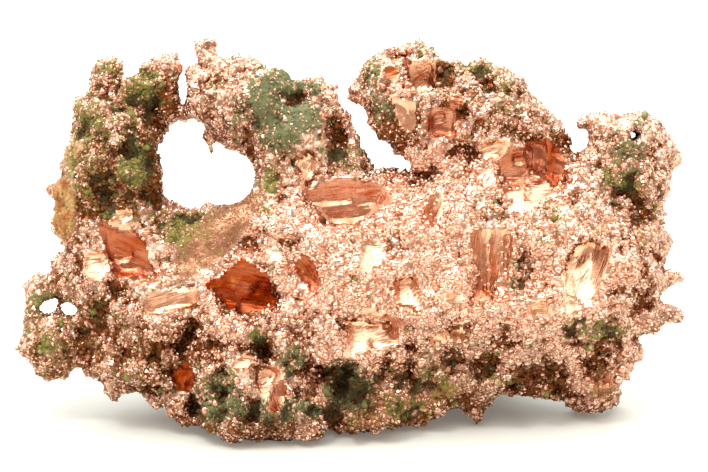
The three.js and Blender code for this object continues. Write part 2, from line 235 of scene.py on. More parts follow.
# Ground that swells into separate knobs. Elsewhere the lumps stay lower.
LUMPY = [
    (-30.0, 38.0, 8.0, 12.0, 0, 1.0),
    (-34.0, 14.0, 9.0, 8.0, 0, 1.0),
    (-20.0, 9.0, 9.0, 6.5, 0, 1.0),
    (0.0, 6.0, 30.0, 6.5, 0, 1.0),
    (30.0, 9.0, 8.0, 7.0, 0, 0.9),
    (36.0, 26.0, 4.5, 16.0, 0, 0.8),
    (12.0, 46.0, 9.0, 4.0, -10, 0.8),
    (-18.0, 47.0, 5.0, 4.0, 0, 0.6),
    (-22.0, 27.0, 4.0, 3.0, 0, 0.7),
    (3.0, 42.0, 4.0, 6.0, 0, 0.8),
    (-9.5, 42.0, 6.0, 6.0, 0, 0.9),
]
LOW_LUMPS = 0.45  # the share of the lumps that the rest of the face gets
BACK_LUMPS = 0.7  # and the back


def values_of(mesh, what, field, width=1, kind=float):
    """One field of a mesh's vertices, edges, corners or faces, as an array."""
    flat = np.empty(len(getattr(mesh, what)) * width, dtype=kind)
    getattr(mesh, what).foreach_get(field, flat)
    return flat if width == 1 else flat.reshape(-1, width)


def rough_ground(mesh):
    """1 on rough ground and 0 on smooth or thin."""
    across, up, out = plate_coords(values_of(mesh, "vertices", "co", 3))
    smooth = spread(SMOOTH, across, up, edge=0.3) * front(out)
    return 1 - np.maximum(smooth, spread(THIN, across, up, edge=0.3))


def lumpy_ground(mesh):
    """How far each point may swell into a knob."""
    across, up, out = plate_coords(values_of(mesh, "vertices", "co", 3))
    behind = BACK_LUMPS * (1 - front(out, lowest=-3))
    return rough_ground(mesh) * np.maximum(np.maximum(spread(LUMPY, across, up), LOW_LUMPS), behind)


ground = rough_ground(body.data)
print("rough share of the skin:", round(float(ground.mean()), 2))

# %% [markdown]
# ## First round: lumps
#
# Native copper grows in knobs that run into each other. A Voronoi texture gives each point its distance
# from the nearest of many scattered centres, which makes cobbled lumps when the skin is pushed out by
# it. Two sizes are laid over each other, about 4 and 2 millimetres across.

# %% Swell the lumps
WEIGHT_STEPS = 20


def displace(obj, kind, group, size, height, middle):
    """Pushes the skin along its normals by a procedural texture whose cells are size across."""
    texture = bpy.data.textures.new(f"{kind} {size}", kind)
    texture.noise_scale = size * MM
    mod = obj.modifiers.new("Displace", "DISPLACE")
    mod.texture = texture
    mod.texture_coords = "LOCAL"
    mod.strength = height * MM
    mod.mid_level = middle
    mod.vertex_group = group
    bake(obj)


def paint_group(obj, name, weights):
    """A vertex group from an array of weights, in even steps."""
    group = obj.vertex_groups.new(name=name)
    steps = np.round(np.clip(weights, 0, 1) * WEIGHT_STEPS).astype(int)
    for step in range(1, WEIGHT_STEPS + 1):
        group.add(np.flatnonzero(steps == step).tolist(), step / WEIGHT_STEPS, "REPLACE")


paint_group(body, "lumpy", lumpy_ground(body.data))
displace(body, "VORONOI", "lumpy", size=4.2, height=-4.4, middle=0.42)
displace(body, "VORONOI", "lumpy", size=2.1, height=-2.6, middle=0.4)
print("lumps swollen over", len(body.data.vertices), "points")

# %% [markdown]
# ## First round: pits
#
# The dark pits between the lumps are sunk one by one, straight into the face. Then the whole skin is
# pushed out a little, to make up for what the lumps took away.

# %% Sink the pits
# Deep pits between the lumps, amount in millimetres.
PITS = [
    (-31.4, 28.5, 2.2, 0.45, 0, 2.6),
    (-34.0, 29.6, 0.5, 1.3, 10, 1.6),
    (-31.0, 31.5, 1.8, 0.8, 0, 1.4),
    (-30.5, 38.8, 1.3, 0.5, -10, 1.6),
    (-31.2, 34.8, 0.7, 0.5, 0, 1.2),
    (-29.6, 35.5, 0.6, 0.6, 0, 1.2),
    (-28.2, 42.7, 0.9, 0.4, -40, 1.2),
    (-25.2, 42.2, 0.8, 1.7, -35, 2.6),
    (-20.9, 45.4, 0.4, 1.1, 0, 1.4),
    (-13.0, 39.4, 0.5, 1.3, 0, 1.2),
    (-4.9, 43.1, 0.8, 0.4, 0, 2.2),
    (-1.9, 44.0, 0.4, 1.1, 0, 1.4),
    (-2.0, 38.9, 0.9, 1.5, 10, 1.2),
    (2.4, 41.6, 0.8, 0.9, 0, 1.8),
    (11.0, 46.4, 0.5, 1.6, -15, 2.4),
    (10.4, 44.4, 0.5, 0.8, 0, 1.4),
    (13.2, 41.6, 1.0, 0.8, 0, 2.4),
    (11.2, 42.5, 0.8, 0.6, 0, 1.6),
    (8.1, 45.8, 0.9, 0.7, 0, 1.2),
    (18.4, 38.9, 0.6, 0.7, 0, 1.2),
    (-20.3, 14.5, 0.8, 1.5, 0, 3.0),
    (-21.2, 11.2, 0.7, 1.6, 20, 2.2),
    (-22.6, 9.1, 1.9, 0.8, 28, 3.2),
    (-21.2, 7.6, 1.5, 1.3, 0, 1.8),
    (-19.8, 4.4, 1.6, 1.1, -20, 2.4),
    (-12.4, 3.9, 0.8, 1.6, -18, 2.8),
    (-11.3, 11.8, 1.4, 1.7, 10, 2.8),
    (-14.9, 14.9, 0.6, 0.9, 0, 1.6),
    (-34.2, 14.0, 0.9, 0.8, 0, 1.2),
    (-38.1, 12.3, 0.6, 0.8, 0, 1.4),
    (-32.2, 8.6, 0.9, 0.7, 0, 1.6),
    (-1.3, 8.4, 0.9, 2.6, -28, 3.0),
    (-5.3, 4.3, 1.2, 0.7, 0, 1.6),
    (-5.3, 6.6, 0.7, 0.7, 0, 1.4),
    (3.2, 5.0, 0.6, 1.0, 0, 1.8),
    (4.9, 6.9, 0.5, 0.7, -30, 1.4),
    (6.9, 11.2, 0.7, 2.1, 5, 2.0),
    (9.0, 7.6, 1.4, 0.6, 0, 1.2),
    (13.6, 13.6, 0.3, 1.8, -12, 1.6),
    (15.9, 11.6, 0.4, 1.7, -8, 1.6),
    (18.2, 13.0, 0.5, 0.9, 0, 1.2),
    (0.7, 17.4, 0.4, 1.1, 0, 1.6),
    (22.6, 8.6, 2.8, 1.5, -8, 1.8),
    (33.3, 10.4, 0.8, 0.7, 0, 2.4),
    (30.0, 28.0, 0.5, 1.3, 0, 1.4),
    (28.0, 28.8, 0.6, 0.6, 0, 1.2),
    (33.0, 29.8, 0.7, 0.6, 0, 1.2),
    (34.4, 33.2, 0.8, 1.0, 0, 1.2),
    (37.2, 24.0, 0.9, 0.7, 0, 1.6),
    (20.3, 22.8, 0.5, 1.1, 0, 1.6),
    (19.2, 19.7, 0.5, 0.9, 0, 1.2),
    (36.6, 17.4, 0.9, 0.7, 0, 1.2),
]
SWELL = 0.38 * MM


def move_points(obj, co):
    obj.data.vertices.foreach_set("co", co.ravel())
    obj.data.update()


co = values_of(body.data, "vertices", "co", 3)
across, up, out = plate_coords(co)
depth = spread(PITS, across, up, edge=0.35) * front(out)
move_points(body, co - np.outer(depth * MM, np.array(OUT)))
co = values_of(body.data, "vertices", "co", 3)
move_points(body, co + SWELL * values_of(body.data, "vertices", "normal", 3))
print("pits sunk:", len(PITS))

# %% [markdown]
# ## First round: gaps
#
# The large hole, the narrow gaps between the arms and the small eyelets have partly closed under all
# that. They are cut open again with balls stretched through the plate. The manifold solver is the
# quickest for closed solids, and it leaves a closed one.

# %% Cut the gaps open
# Gaps that go right through: across, up, half sizes across and up, and a turn to the left.
GAPS = [
    (35.0, 38.7, 0.95, 0.85, 0),
    (-38.4, 17.2, 1.4, 1.0, 20),
    (-35.9, 16.9, 1.45, 1.0, -12),
    (-37.3, 18.1, 0.7, 0.8, 0),
    (-21.7, 45.2, 0.75, 3.1, 4),
    (-28.4, 47.6, 1.6, 1.5, 0),
    (28.6, 38.1, 1.0, 1.8, -22),
    (26.9, 41.4, 1.2, 1.5, 50),
    (27.2, 39.7, 1.1, 1.3, 30),
    (-36.4, 43.1, 1.3, 2.0, -10),
    (-34.9, 8.9, 1.2, 0.9, 0),
    (-1.7, 45.2, 1.0, 2.6, 6),
    (-0.8, 42.5, 1.6, 0.9, -35),
    (0.7, 40.9, 1.05, 2.0, 0),
    (1.5, 38.4, 1.1, 1.9, 0),
    (3.1, 36.8, 1.7, 1.4, -30),
    (5.5, 35.3, 1.9, 1.25, -20),
    (-21.6, 35.4, 2.8, 5.4, 0),
    (-20.2, 33.3, 3.7, 3.9, 0),
    (-15.8, 33.5, 3.5, 3.7, 0),
]
THROUGH = 14.0  # half the length of a cutter, more than half the thickness of the plate


def subtract(obj, tool):
    mod = obj.modifiers.new("Cut", "BOOLEAN")
    mod.operation = "DIFFERENCE"
    mod.solver = "MANIFOLD"
    mod.object = tool
    bake(obj)
    bpy.data.objects.remove(tool)


def plate_matrix(across, up, turn):
    """Turns a shape in the plate's directions, in millimetres, and puts it there in metres."""
    directions = Matrix((Vector((1, 0, 0)), -OUT, UP)).transposed().to_4x4()
    turned = Euler((0, -math.radians(turn), 0)).to_matrix().to_4x4()
    return Matrix.Translation(at(across, up)) @ directions @ turned @ Matrix.Scale(MM, 4)


for across, up, half_a, half_u, turn in GAPS:
    bm = bmesh.new()
    bmesh.ops.create_icosphere(bm, subdivisions=3, radius=1.0)
    bmesh.ops.scale(bm, vec=(half_a, THROUGH, half_u), verts=bm.verts)
    bmesh.ops.transform(bm, matrix=plate_matrix(across, up, turn), verts=bm.verts)
    subtract(body, new_object("gap", bm))
print("gaps cut:", len(GAPS))

# %% [markdown]
# ## First round: twigs
#
# Thin twigs and rims are grown back last, since carving would eat them away. Each is a chain of
# overlapping balls of uneven size, and the next remesh melts them into the body.

# %% Grow the twigs
# The thickness, then stops across, up and out.
TWIGS = [
    (0.6, [(-20.3, 44.2, 0), (-20.8, 45.2, 0.1), (-21.0, 46.4, 0.2), (-21.5, 47.4, 0.2)]),
    (1.1, [(-16.0, 39.9, 0), (-17.4, 39.0, 0.2), (-18.8, 38.7, 0.3)]),
    (0.9, [(-17.8, 39.0, 0.2), (-18.3, 38.2, 0.3), (-18.0, 36.9, 0.3)]),
    (1.3, [(-39.4, 20.2, 0), (-40.2, 19.0, 0.1), (-40.5, 17.4, 0), (-40.6, 15.8, 0.1), (-40.0, 14.2, 0)]),
    (0.7, [(-37.0, 19.0, 0.4), (-37.1, 17.8, 0.3), (-37.0, 16.2, 0.2), (-37.4, 15.2, 0)]),
    (0.9, [(38.0, 20.0, -1), (39.4, 20.6, -1), (40.6, 20.9, -1)]),
    (1.3, [(41.0, 20.9, -1), (41.2, 20.8, -1)]),
    (1.4, [(38.0, 16.2, -1), (39.6, 16.1, -1)]),
    (2.0, [(40.4, 16.0, -1), (40.9, 16.1, -1)]),
    (1.5, [(-36.6, 31.9, 0), (-37.6, 31.9, 0), (-38.4, 32.0, 0)]),
    (1.4, [(-19.0, 48.0, 0.2), (-19.2, 49.4, 0.2), (-19.4, 50.0, 0.2)]),
    (1.2, [(-18.6, 48.0, 0.2), (-18.3, 49.4, 0.3), (-18.1, 50.2, 0.4)]),
    (1.2, [(7.6, 49.0, 0), (8.0, 50.4, 0)]),
    (1.2, [(15.8, 46.0, 0), (16.1, 47.6, 0)]),
    (1.2, [(28.3, 40.2, -0.4), (30.2, 40.7, -0.4), (31.6, 40.6, -0.4)]),
    (1.2, [(10.4, 4.2, -0.4), (13.0, 4.8, -0.8)]),
    (1.6, [(-14.0, 1.2, 3.2), (-10.0, 1.0, 3.4), (-8.0, 1.4, 3.0)]),
    (1.6, [(-1.6, 2.2, 1.6), (4.0, 2.3, 1.4), (9.0, 3.0, 0.6)]),
    (1.0, [(-14.0, 37.4, 0.2), (-15.0, 36.8, 0.3)]),
    (1.0, [(39.0, 36.0, -0.8), (40.4, 36.3, -0.8)]),
    (1.0, [(16.6, 6.4, -2), (16.7, 4.9, -2)]),
    (1.0, [(-30.4, 7.0, 0), (-30.3, 5.6, 0)]),
    (0.9, [(-33.2, 10.4, 0.2), (-33.5, 8.9, 0.2)]),
    (0.9, [(34.2, 10.4, -1.4), (34.9, 9.3, -1.4)]),
    (3.6, [(-31.6, 45.0, -0.4), (-31.4, 46.4, -0.5), (-30.9, 47.0, -0.5)]),
    (2.2, [(-30.2, 47.2, -0.4), (-30.6, 47.8, -0.5)]),
    (3.2, [(-25.6, 46.8, 0), (-24.0, 47.7, 0.2), (-23.2, 47.8, 0.3)]),
    (1.6, [(-22.8, 43.2, 0), (-22.8, 45.0, 0), (-22.8, 47.0, 0.2)]),
    (1.8, [(-19.4, 49.4, 0.2), (-18.4, 50.2, 0.3)]),
    (1.9, [(-12.6, 47.4, 0.2), (-13.2, 47.6, 0.1)]),
    (2.0, [(-4.6, 44.9, 0), (-3.8, 44.6, 0)]),
    (2.6, [(2.8, 48.0, 0), (4.4, 48.6, 0), (7.8, 49.7, 0), (9.2, 48.9, 0)]),
    (1.8, [(1.0, 43.8, 0), (-0.4, 43.6, 0)]),
    (2.0, [(15.0, 47.4, 0), (16.2, 47.6, 0), (18.4, 46.4, 0)]),
    (1.6, [(-35.8, 36.6, 0), (-36.4, 34.8, 0)]),
    (3.2, [(36.8, 40.0, -0.6), (38.6, 38.4, -0.8), (39.2, 36.6, -0.8)]),
    (1.8, [(38.2, 31.0, -1), (37.9, 28.6, -1), (38.4, 26.0, -1), (38.4, 22.6, -1)]),
    (1.8, [(35.8, 14.6, -1.4), (35.2, 12.8, -1.4), (34.6, 10.4, -1.6), (34.2, 8.6, -2)]),
    (3.0, [(32.4, 5.9, -3), (31.0, 5.2, -3), (28.8, 4.8, -3.2)]),
    (2.1, [(18.2, 6.9, -1.6), (21.2, 6.9, -1.6), (24.4, 6.2, -2), (25.6, 6.1, -2)]),
    (3.0, [(-39.4, 10.4, 0.3), (-38.0, 9.4, 0.3), (-37.0, 9.6, 0.3)]),
    (2.4, [(-32.9, 9.8, 0.2), (-31.4, 8.6, 0), (-30.4, 7.0, 0), (-28.0, 7.4, 0)]),
    (1.4, [(-41.0, 13.4, 0.2), (-41.0, 11.6, 0.2)]),
    (1.8, [(-38.6, 20.4, 0.2), (-37.2, 21.4, 0), (-36.2, 23.6, 0)]),
]
VOXEL_FINE = 0.42 * MM
SPACING = 0.4  # from ball to ball, as a share of the thickness

random.seed(3)
bm = bmesh.new()
bm.from_mesh(body.data)
for thick, stops in TWIGS:
    for here, there in zip(stops, stops[1:]):
        steps = max(1, round(math.dist(here[:2], there[:2]) / (SPACING * thick)))
        for i in range(steps + 1):
            t = i / steps
            place = Matrix.Translation(at(*(a + (b - a) * t for a, b in zip(here, there))))
            radius = 0.5 * thick * random.uniform(0.8, 1.2) * MM
            bmesh.ops.create_icosphere(bm, subdivisions=1, radius=radius, matrix=place)
bm.to_mesh(body.data)
bm.free()
remesh(body, VOXEL_FINE)
print("after the first round:", len(body.data.polygons), "faces")

# %% [markdown]
# ## Imprints of crystals
#
# The smooth pockets are the prints of flat-faced crystals that have since gone. Each is cut with the
# convex hull of an outline on the skin and of a few points under it, which gives flat walls that run
# down to a point, a line or a small floor. Where the deep points lie under the top edge, the pocket is a
# ramp that faces upward and shines. Most prints are stepped, so each cutter is followed by smaller,
# slightly turned ones.

# %% List the imprints
# The outline as across and up, the deep points as across, up and depth, how many steps follow, the
# direction of the growth lines in degrees from across, and how deep its orange to red colour is. That
# colour is partly a red oxide film and partly painted shade and painted copper-red reflection in the
# pocket.
IMPRINTS = [
    ([(-18.3, 20.4), (-14.4, 23.4), (-12.4, 22.0), (-9.2, 18.6), (-11.6, 15.6), (-15.9, 16.4)],
     [(-16.4, 18.0, 2.4), (-11.0, 17.2, 2.6)], 4, -10, 1.0),
    ([(-7.9, 22.6), (-6.2, 24.1), (-4.0, 20.4), (-5.4, 19.0)],
     [(-6.9, 22.4, 1.3), (-4.9, 20.2, 1.3)], 2, -55, 0.85),
    ([(-6.4, 32.4), (-4.2, 33.8), (0.6, 33.5), (3.5, 32.2), (3.2, 29.4), (0.4, 27.8), (-3.4, 27.5)],
     [(-2.9, 28.0, 1.6), (1.2, 28.2, 1.5)], 3, 9, 0.6),
    ([(-8.0, 35.4), (-5.4, 36.5), (-3.8, 34.4), (-5.8, 32.8)],
     [(-7.3, 35.3, 1.4), (-5.4, 36.1, 1.4)], 1, 60, 0.0),
    ([(-31.0, 26.4), (-26.4, 26.6), (-25.0, 21.4), (-29.8, 20.6)],
     [(-29.4, 21.8, 1.6), (-26.0, 22.4, 1.4)], 3, -20, 0.85),
    ([(-34.3, 23.6), (-31.0, 24.4), (-30.2, 20.6), (-33.6, 20.8)],
     [(-33.4, 23.4, 1.8), (-31.2, 23.8, 1.8)], 2, 15, 0.1),
    ([(-30.0, 29.4), (-27.6, 29.4), (-27.4, 26.9), (-29.6, 26.6)],
     [(-29.4, 29.0, 1.4), (-28.0, 29.0, 1.4)], 1, 30, 0.1),
    ([(-26.6, 19.8), (-20.2, 20.6), (-19.8, 17.6), (-25.6, 16.4)],
     [(-25.2, 16.6, 0.9), (-20.1, 17.7, 0.9)], 3, 15, 0.35),
    ([(15.3, 27.0), (16.9, 27.2), (16.3, 18.4), (14.7, 18.3)],
     [(16.5, 26.2, 1.1), (15.9, 19.4, 1.9)], 2, 82, 0.5),
    ([(16.6, 27.5), (18.2, 27.1), (17.6, 18.8), (16.1, 18.5)],
     [(16.9, 26.4, 0.8), (16.4, 19.2, 2.0)], 2, 84, 0.15),
    ([(18.0, 26.9), (19.7, 26.3), (18.9, 19.6), (17.5, 19.0)],
     [(19.3, 25.6, 1.8), (18.6, 20.2, 1.3)], 1, 80, 0.38),
    ([(26.4, 22.4), (27.4, 25.0), (30.0, 25.6), (31.2, 24.0), (29.9, 20.2), (27.6, 19.3)],
     [(27.6, 24.6, 1.5), (29.9, 25.0, 1.5)], 3, 70, 0.0),
    ([(25.6, 18.0), (27.5, 17.9), (27.5, 16.1), (25.8, 16.0)],
     [(25.9, 17.7, 1.0), (27.2, 17.6, 1.0)], 0, 20, 0.0),
    ([(15.2, 37.2), (18.6, 38.0), (19.2, 36.4), (16.4, 35.6)],
     [(16.2, 37.0, 1.1), (18.4, 37.6, 1.1)], 1, 15, 0.0),
    ([(18.0, 36.6), (21.4, 36.8), (21.8, 32.8), (18.2, 32.4)],
     [(18.8, 33.2, 1.5), (21.2, 33.4, 1.5)], 3, 5, 0.7),
    ([(21.4, 38.2), (26.8, 37.2), (26.9, 33.0), (22.0, 32.6)],
     [(22.6, 36.6, 1.8), (26.0, 34.2, 1.8)], 5, 84, 0.85),
    ([(15.2, 34.9), (17.4, 35.0), (18.5, 32.6), (16.4, 30.9)],
     [(15.9, 34.4, 1.1), (17.2, 34.5, 1.1)], 1, 60, 0.15),
    ([(18.4, 33.4), (25.9, 33.4), (26.0, 31.4), (18.8, 31.2)],
     [(19.0, 33.2, 0.9), (25.4, 33.2, 0.9)], 2, 0, 0.3),
    ([(10.4, 33.2), (12.0, 32.6), (9.6, 27.2), (8.2, 27.6)],
     [(10.6, 32.4, 1.0), (9.1, 28.0, 1.1)], 1, 68, 0.2),
    ([(-1.4, 15.4), (3.2, 15.8), (6.8, 12.6), (3.8, 10.2), (-0.6, 10.8)],
     [(0.0, 14.8, 2.2), (4.4, 13.8, 2.0)], 4, 20, 0.0),
    ([(2.8, 16.4), (6.1, 15.4), (5.8, 12.6)],
     [(4.9, 14.8, 1.3)], 0, 100, 0.7),
    ([(-15.4, 11.6), (-12.4, 11.4), (-12.2, 8.9), (-15.2, 9.0)],
     [(-14.8, 11.0, 1.3), (-12.8, 10.8, 1.3)], 1, 20, 0.3),
    ([(-12.4, 9.9), (-9.2, 9.8), (-8.6, 6.6), (-11.6, 6.4)],
     [(-11.6, 9.2, 1.5), (-9.6, 9.0, 1.5)], 2, 30, 0.4),
    ([(-10.2, 8.8), (-8.2, 8.8), (-7.9, 5.2), (-9.9, 5.2)],
     [(-9.6, 7.9, 1.1), (-9.0, 6.0, 1.1)], 0, 85, 0.8),
    ([(31.0, 9.8), (32.7, 9.7), (32.8, 5.8), (31.1, 5.9)],
     [(31.6, 9.0, 0.9), (32.1, 6.6, 0.9)], 0, 86, 0.7),
    ([(3.2, 47.2), (5.4, 48.0), (6.2, 46.0), (4.0, 45.0)],
     [(4.0, 46.8, 0.9), (5.4, 46.4, 0.9)], 0, 20, 0.8),
    ([(6.8, 47.2), (9.6, 47.0), (9.8, 44.4), (7.2, 44.2)],
     [(7.8, 44.8, 1.1), (9.2, 44.9, 1.1)], 1, 40, 0.3),
    ([(11.0, 44.2), (13.9, 44.0), (13.6, 42.2), (11.2, 42.3)],
     [(11.6, 43.4, 0.9), (13.2, 43.2, 0.9)], 0, -10, 0.8),
    ([(9.2, 41.8), (12.4, 41.9), (12.6, 38.6), (9.4, 38.4)],
     [(10.0, 39.2, 1.4), (12.0, 39.2, 1.4)], 2, 10, 0.7),
    ([(5.0, 43.2), (7.6, 42.8), (8.2, 38.8), (6.0, 38.6)],
     [(6.4, 42.0, 0.9), (7.2, 39.6, 0.9)], 2, 110, 0.3),
    ([(-22.8, 9.1), (-20.2, 9.0), (-20.6, 6.4), (-22.2, 6.4)],
     [(-21.6, 7.6, 1.3)], 0, 70, 1.0),
    ([(9.2, 13.8), (11.4, 14.0), (11.6, 11.2), (9.6, 11.0)],
     [(9.7, 13.3, 1.1), (11.0, 13.3, 1.1)], 0, 80, 0.0),
    ([(12.0, 14.8), (14.2, 14.6), (13.6, 11.4), (12.2, 11.6)],
     [(12.5, 14.2, 1.3), (13.7, 14.0, 1.3)], 1, 80, 0.0),
    ([(11.2, 19.0), (13.0, 18.9), (12.8, 17.6), (11.2, 17.7)],
     [(11.5, 18.7, 0.8), (12.7, 18.6, 0.8)], 0, 10, 0.0),
    ([(-11.2, 24.9), (-9.2, 24.4), (-9.4, 23.3), (-11.0, 23.6)],
     [(-10.8, 24.5, 0.7), (-9.6, 24.2, 0.7)], 0, -20, 0.0),
    ([(5.0, 20.6), (7.4, 20.9), (7.6, 18.6), (5.4, 18.4)],
     [(5.5, 20.2, 1.0), (7.0, 20.4, 1.0)], 0, 30, 0.1),
    ([(0.8, 25.8), (3.6, 25.4), (3.2, 23.6), (1.0, 23.8)],
     [(1.3, 25.4, 0.9), (3.1, 25.1, 0.9)], 0, -10, 0.3),
    ([(21.8, 17.6), (24.2, 17.3), (24.0, 15.6), (22.0, 15.7)],
     [(22.2, 17.2, 0.8), (23.8, 17.0, 0.8)], 0, 0, 0.0),
]
print("imprints:", len(IMPRINTS), "with", sum(row[2] for row in IMPRINTS), "further steps")

# %% [markdown]
# ## Cutting the imprints
#
# A ray from in front finds the skin, so a cut is as deep as it is meant to be. The cutters carry the
# second material slot, and the boolean hands it on to the new faces.

# %% Cut the imprints
OUTWARD = 1.8  # how far a cutter reaches in front of the skin, in millimetres
FLARE = 0.7  # how far the walls keep their slope in front of the skin, from 0 to 1
WIDER = 1.12  # the outlines are cut wider by this much, since the crust creeps in again
FAR_OUT = 40  # where the rays start, in front of everything

crust_copper = bpy.data.materials.new("crystal crust of native copper")
facet_copper = bpy.data.materials.new("smooth imprint in native copper")


def give_slots(obj, slots):
    """Puts both finishes on an object, and sets which of them each face has."""
    obj.data.materials.clear()
    obj.data.materials.append(crust_copper)
    obj.data.materials.append(facet_copper)
    obj.data.polygons.foreach_set("material_index", slots.astype(np.int32))


def search_tree(obj):
    bm = bmesh.new()
    bm.from_mesh(obj.data)
    tree = BVHTree.FromBMesh(bm)
    bm.free()
    return tree


def press(obj, out, outline, deep_points):
    """Cuts one crystal's print. Places are across and up, and depths are under the given skin."""
    bm = bmesh.new()
    for a, u in outline:
        bm.verts.new(at(a, u, out))
        deep_a, deep_u, depth = min(deep_points, key=lambda q: math.dist(q[:2], (a, u)))
        slope = FLARE * OUTWARD / depth
        bm.verts.new(at(a + (a - deep_a) * slope, u + (u - deep_u) * slope, out + OUTWARD))
    for a, u, depth in deep_points:
        bm.verts.new(at(a, u, out - depth))
    hull = bmesh.ops.convex_hull(bm, input=bm.verts[:])
    bmesh.ops.delete(bm, geom=list({*hull["geom_interior"], *hull["geom_unused"]}), context="VERTS")
    tool = new_object("imprint", bm)
    give_slots(tool, np.ones(len(tool.data.polygons)))
    subtract(obj, tool)


def set_off(points, pivot, part, turn):
    """Points made smaller about a pivot, and turned."""
    c, s = math.cos(turn), math.sin(turn)
    moved = []
    for a, u, *depth in points:
        da, du = part * (a - pivot[0]), part * (u - pivot[1])
        moved.append((pivot[0] + da * c - du * s, pivot[1] + da * s + du * c, *depth))
    return moved


give_slots(body, np.zeros(len(body.data.polygons)))
skin = search_tree(body)
random.seed(11)
for outline, deep_points, steps, *_ in IMPRINTS:
    outline = set_off(outline, np.mean(outline, axis=0), WIDER, 0)
    middle = np.mean(outline, axis=0)
    hit = skin.ray_cast(at(*middle, FAR_OUT), -OUT)[0]
    out = (hit - at(*middle)).dot(OUT) / MM
    press(body, out, outline, deep_points)
    for _ in range(steps):
        pivot = random.choice(outline)
        part, turn = random.uniform(0.4, 0.8), math.radians(random.uniform(-12, 12))
        deeper = random.uniform(1.0, 1.3)
        points = [(a, u, depth * deeper) for a, u, depth in set_off(deep_points, pivot, part, turn)]
        press(body, out, set_off(outline, pivot, part, turn), points)
print("after the cuts:", len(body.data.polygons), "faces")

# %% [markdown]
# ## Softening the cuts
#
# Clean-cut edges would look machined. The cut skin is remeshed, which softens them, and each new face
# takes its slot from the nearest old one. The steep walls of a print mirror the walls across from them
# and would be all deep red, so they are left to the crust, which also creeps in over the rims unevenly.

# %% Remesh the cut skin and mark the prints on it
STEEP = 0.56  # faces that look out less than this carry the crust
STEEP_FADE = 0.12
CREEP = [(1.1, 0.25), (0.4, 0.12)]  # how the rims wander: the size in millimetres, and how much
RIM_ROUNDS = 4
RIM_LEVEL = 0.45  # the softened share of print at which its rim runs
RIM_SHARPNESS = 3


def neighbours(mesh):
    """Both ends of every edge, each way round, and the number of neighbours of each vertex."""
    one, two = values_of(mesh, "edges", "vertices", 2, np.int32).T
    start, end = np.concatenate([one, two]), np.concatenate([two, one])
    return start, end, np.maximum(np.bincount(start, minlength=len(mesh.vertices)), 1)


def soften(mesh, values, rounds):
    """Values at the vertices after each has gone halfway to its neighbours' mean, many times."""
    start, end, count = neighbours(mesh)
    for _ in range(rounds):
        values = 0.5 * values + 0.5 * np.bincount(start, values[end], len(values)) / count
    return values


def vertex_share(mesh, chosen):
    """The share of the chosen faces among the faces round each vertex."""
    totals = values_of(mesh, "polygons", "loop_total", kind=np.int32)
    corner_vertex = values_of(mesh, "loops", "vertex_index", kind=np.int32)
    corner_chosen = np.repeat(chosen.astype(float), totals)
    hits = np.bincount(corner_vertex, corner_chosen, len(mesh.vertices))
    return hits / np.maximum(np.bincount(corner_vertex, minlength=len(mesh.vertices)), 1)


def face_mean(mesh, values):
    """The mean of the vertex values round each face."""
    starts = values_of(mesh, "polygons", "loop_start", kind=np.int32)
    totals = values_of(mesh, "polygons", "loop_total", kind=np.int32)
    corner_vertex = values_of(mesh, "loops", "vertex_index", kind=np.int32)
    return np.add.reduceat(values[corner_vertex], starts) / totals


def blotches(points, size):
    """Soft noise, about -1 to 1, whose blotches are about size millimetres across."""
    scale = 1 / (size * MM)
    return np.array([mathutils_noise.noise(Vector(p) * scale) for p in points])


cut_tree = search_tree(body)
cut_slots = values_of(body.data, "polygons", "material_index", kind=np.int32)
remesh(body, VOXEL_FINE)
centres = values_of(body.data, "polygons", "center", 3)
in_print = np.array([cut_slots[cut_tree.find_nearest(Vector(c))[2]] for c in centres])
looks_out = values_of(body.data, "vertices", "normal", 3) @ np.array(OUT)
flat = np.clip((looks_out - STEEP) / STEEP_FADE, 0, 1)
printed = soften(body.data, vertex_share(body.data, in_print) * flat, RIM_ROUNDS)
co = values_of(body.data, "vertices", "co", 3)
creep = sum(amount * blotches(co, size) for size, amount in CREEP)
printed = np.clip((printed + creep - RIM_LEVEL) * RIM_SHARPNESS + 0.5, 0, 1)
face_printed = face_mean(body.data, printed) > 0.5
give_slots(body, face_printed)
print("faces in imprints:", int(face_printed.sum()), "of", len(face_printed))

# %% [markdown]
# ## Second round: crumbs
#
# The crust breaks up into crumbs of about a millimetre, and the smooth ground only gets a slow, shallow
# wave, as real faces are never quite flat. Nothing may reach below the ground that the nugget stands
# on, so its lowest points are flattened there. The faces of the smooth ground are shaded smooth.

# %% Second round
SHARP = math.radians(24)  # edges bent by more than this stay sharp

body.vertex_groups.clear()
crust_here = 1 - printed
paint_group(body, "rough", rough_ground(body.data) * crust_here)
paint_group(body, "crust", crust_here)
paint_group(body, "print", printed)
displace(body, "VORONOI", "rough", size=0.95, height=-0.8, middle=0.4)
displace(body, "CLOUDS", "crust", size=0.5, height=0.35, middle=0.5)
displace(body, "CLOUDS", "print", size=1.7, height=0.08, middle=0.5)
co = values_of(body.data, "vertices", "co", 3)
co[:, 2] = np.maximum(co[:, 2], CAD_BOX[0].z)
move_points(body, co)
matte_faces = face_mean(body.data, 1 - rough_ground(body.data)) > 0.6
body.data.polygons.foreach_set("use_smooth", face_printed | matte_faces)
body.data.set_sharp_from_angle(angle=SHARP)
body.data.calc_loop_triangles()
print("body:", len(body.data.polygons), "faces,", len(body.data.loop_triangles), "triangles")
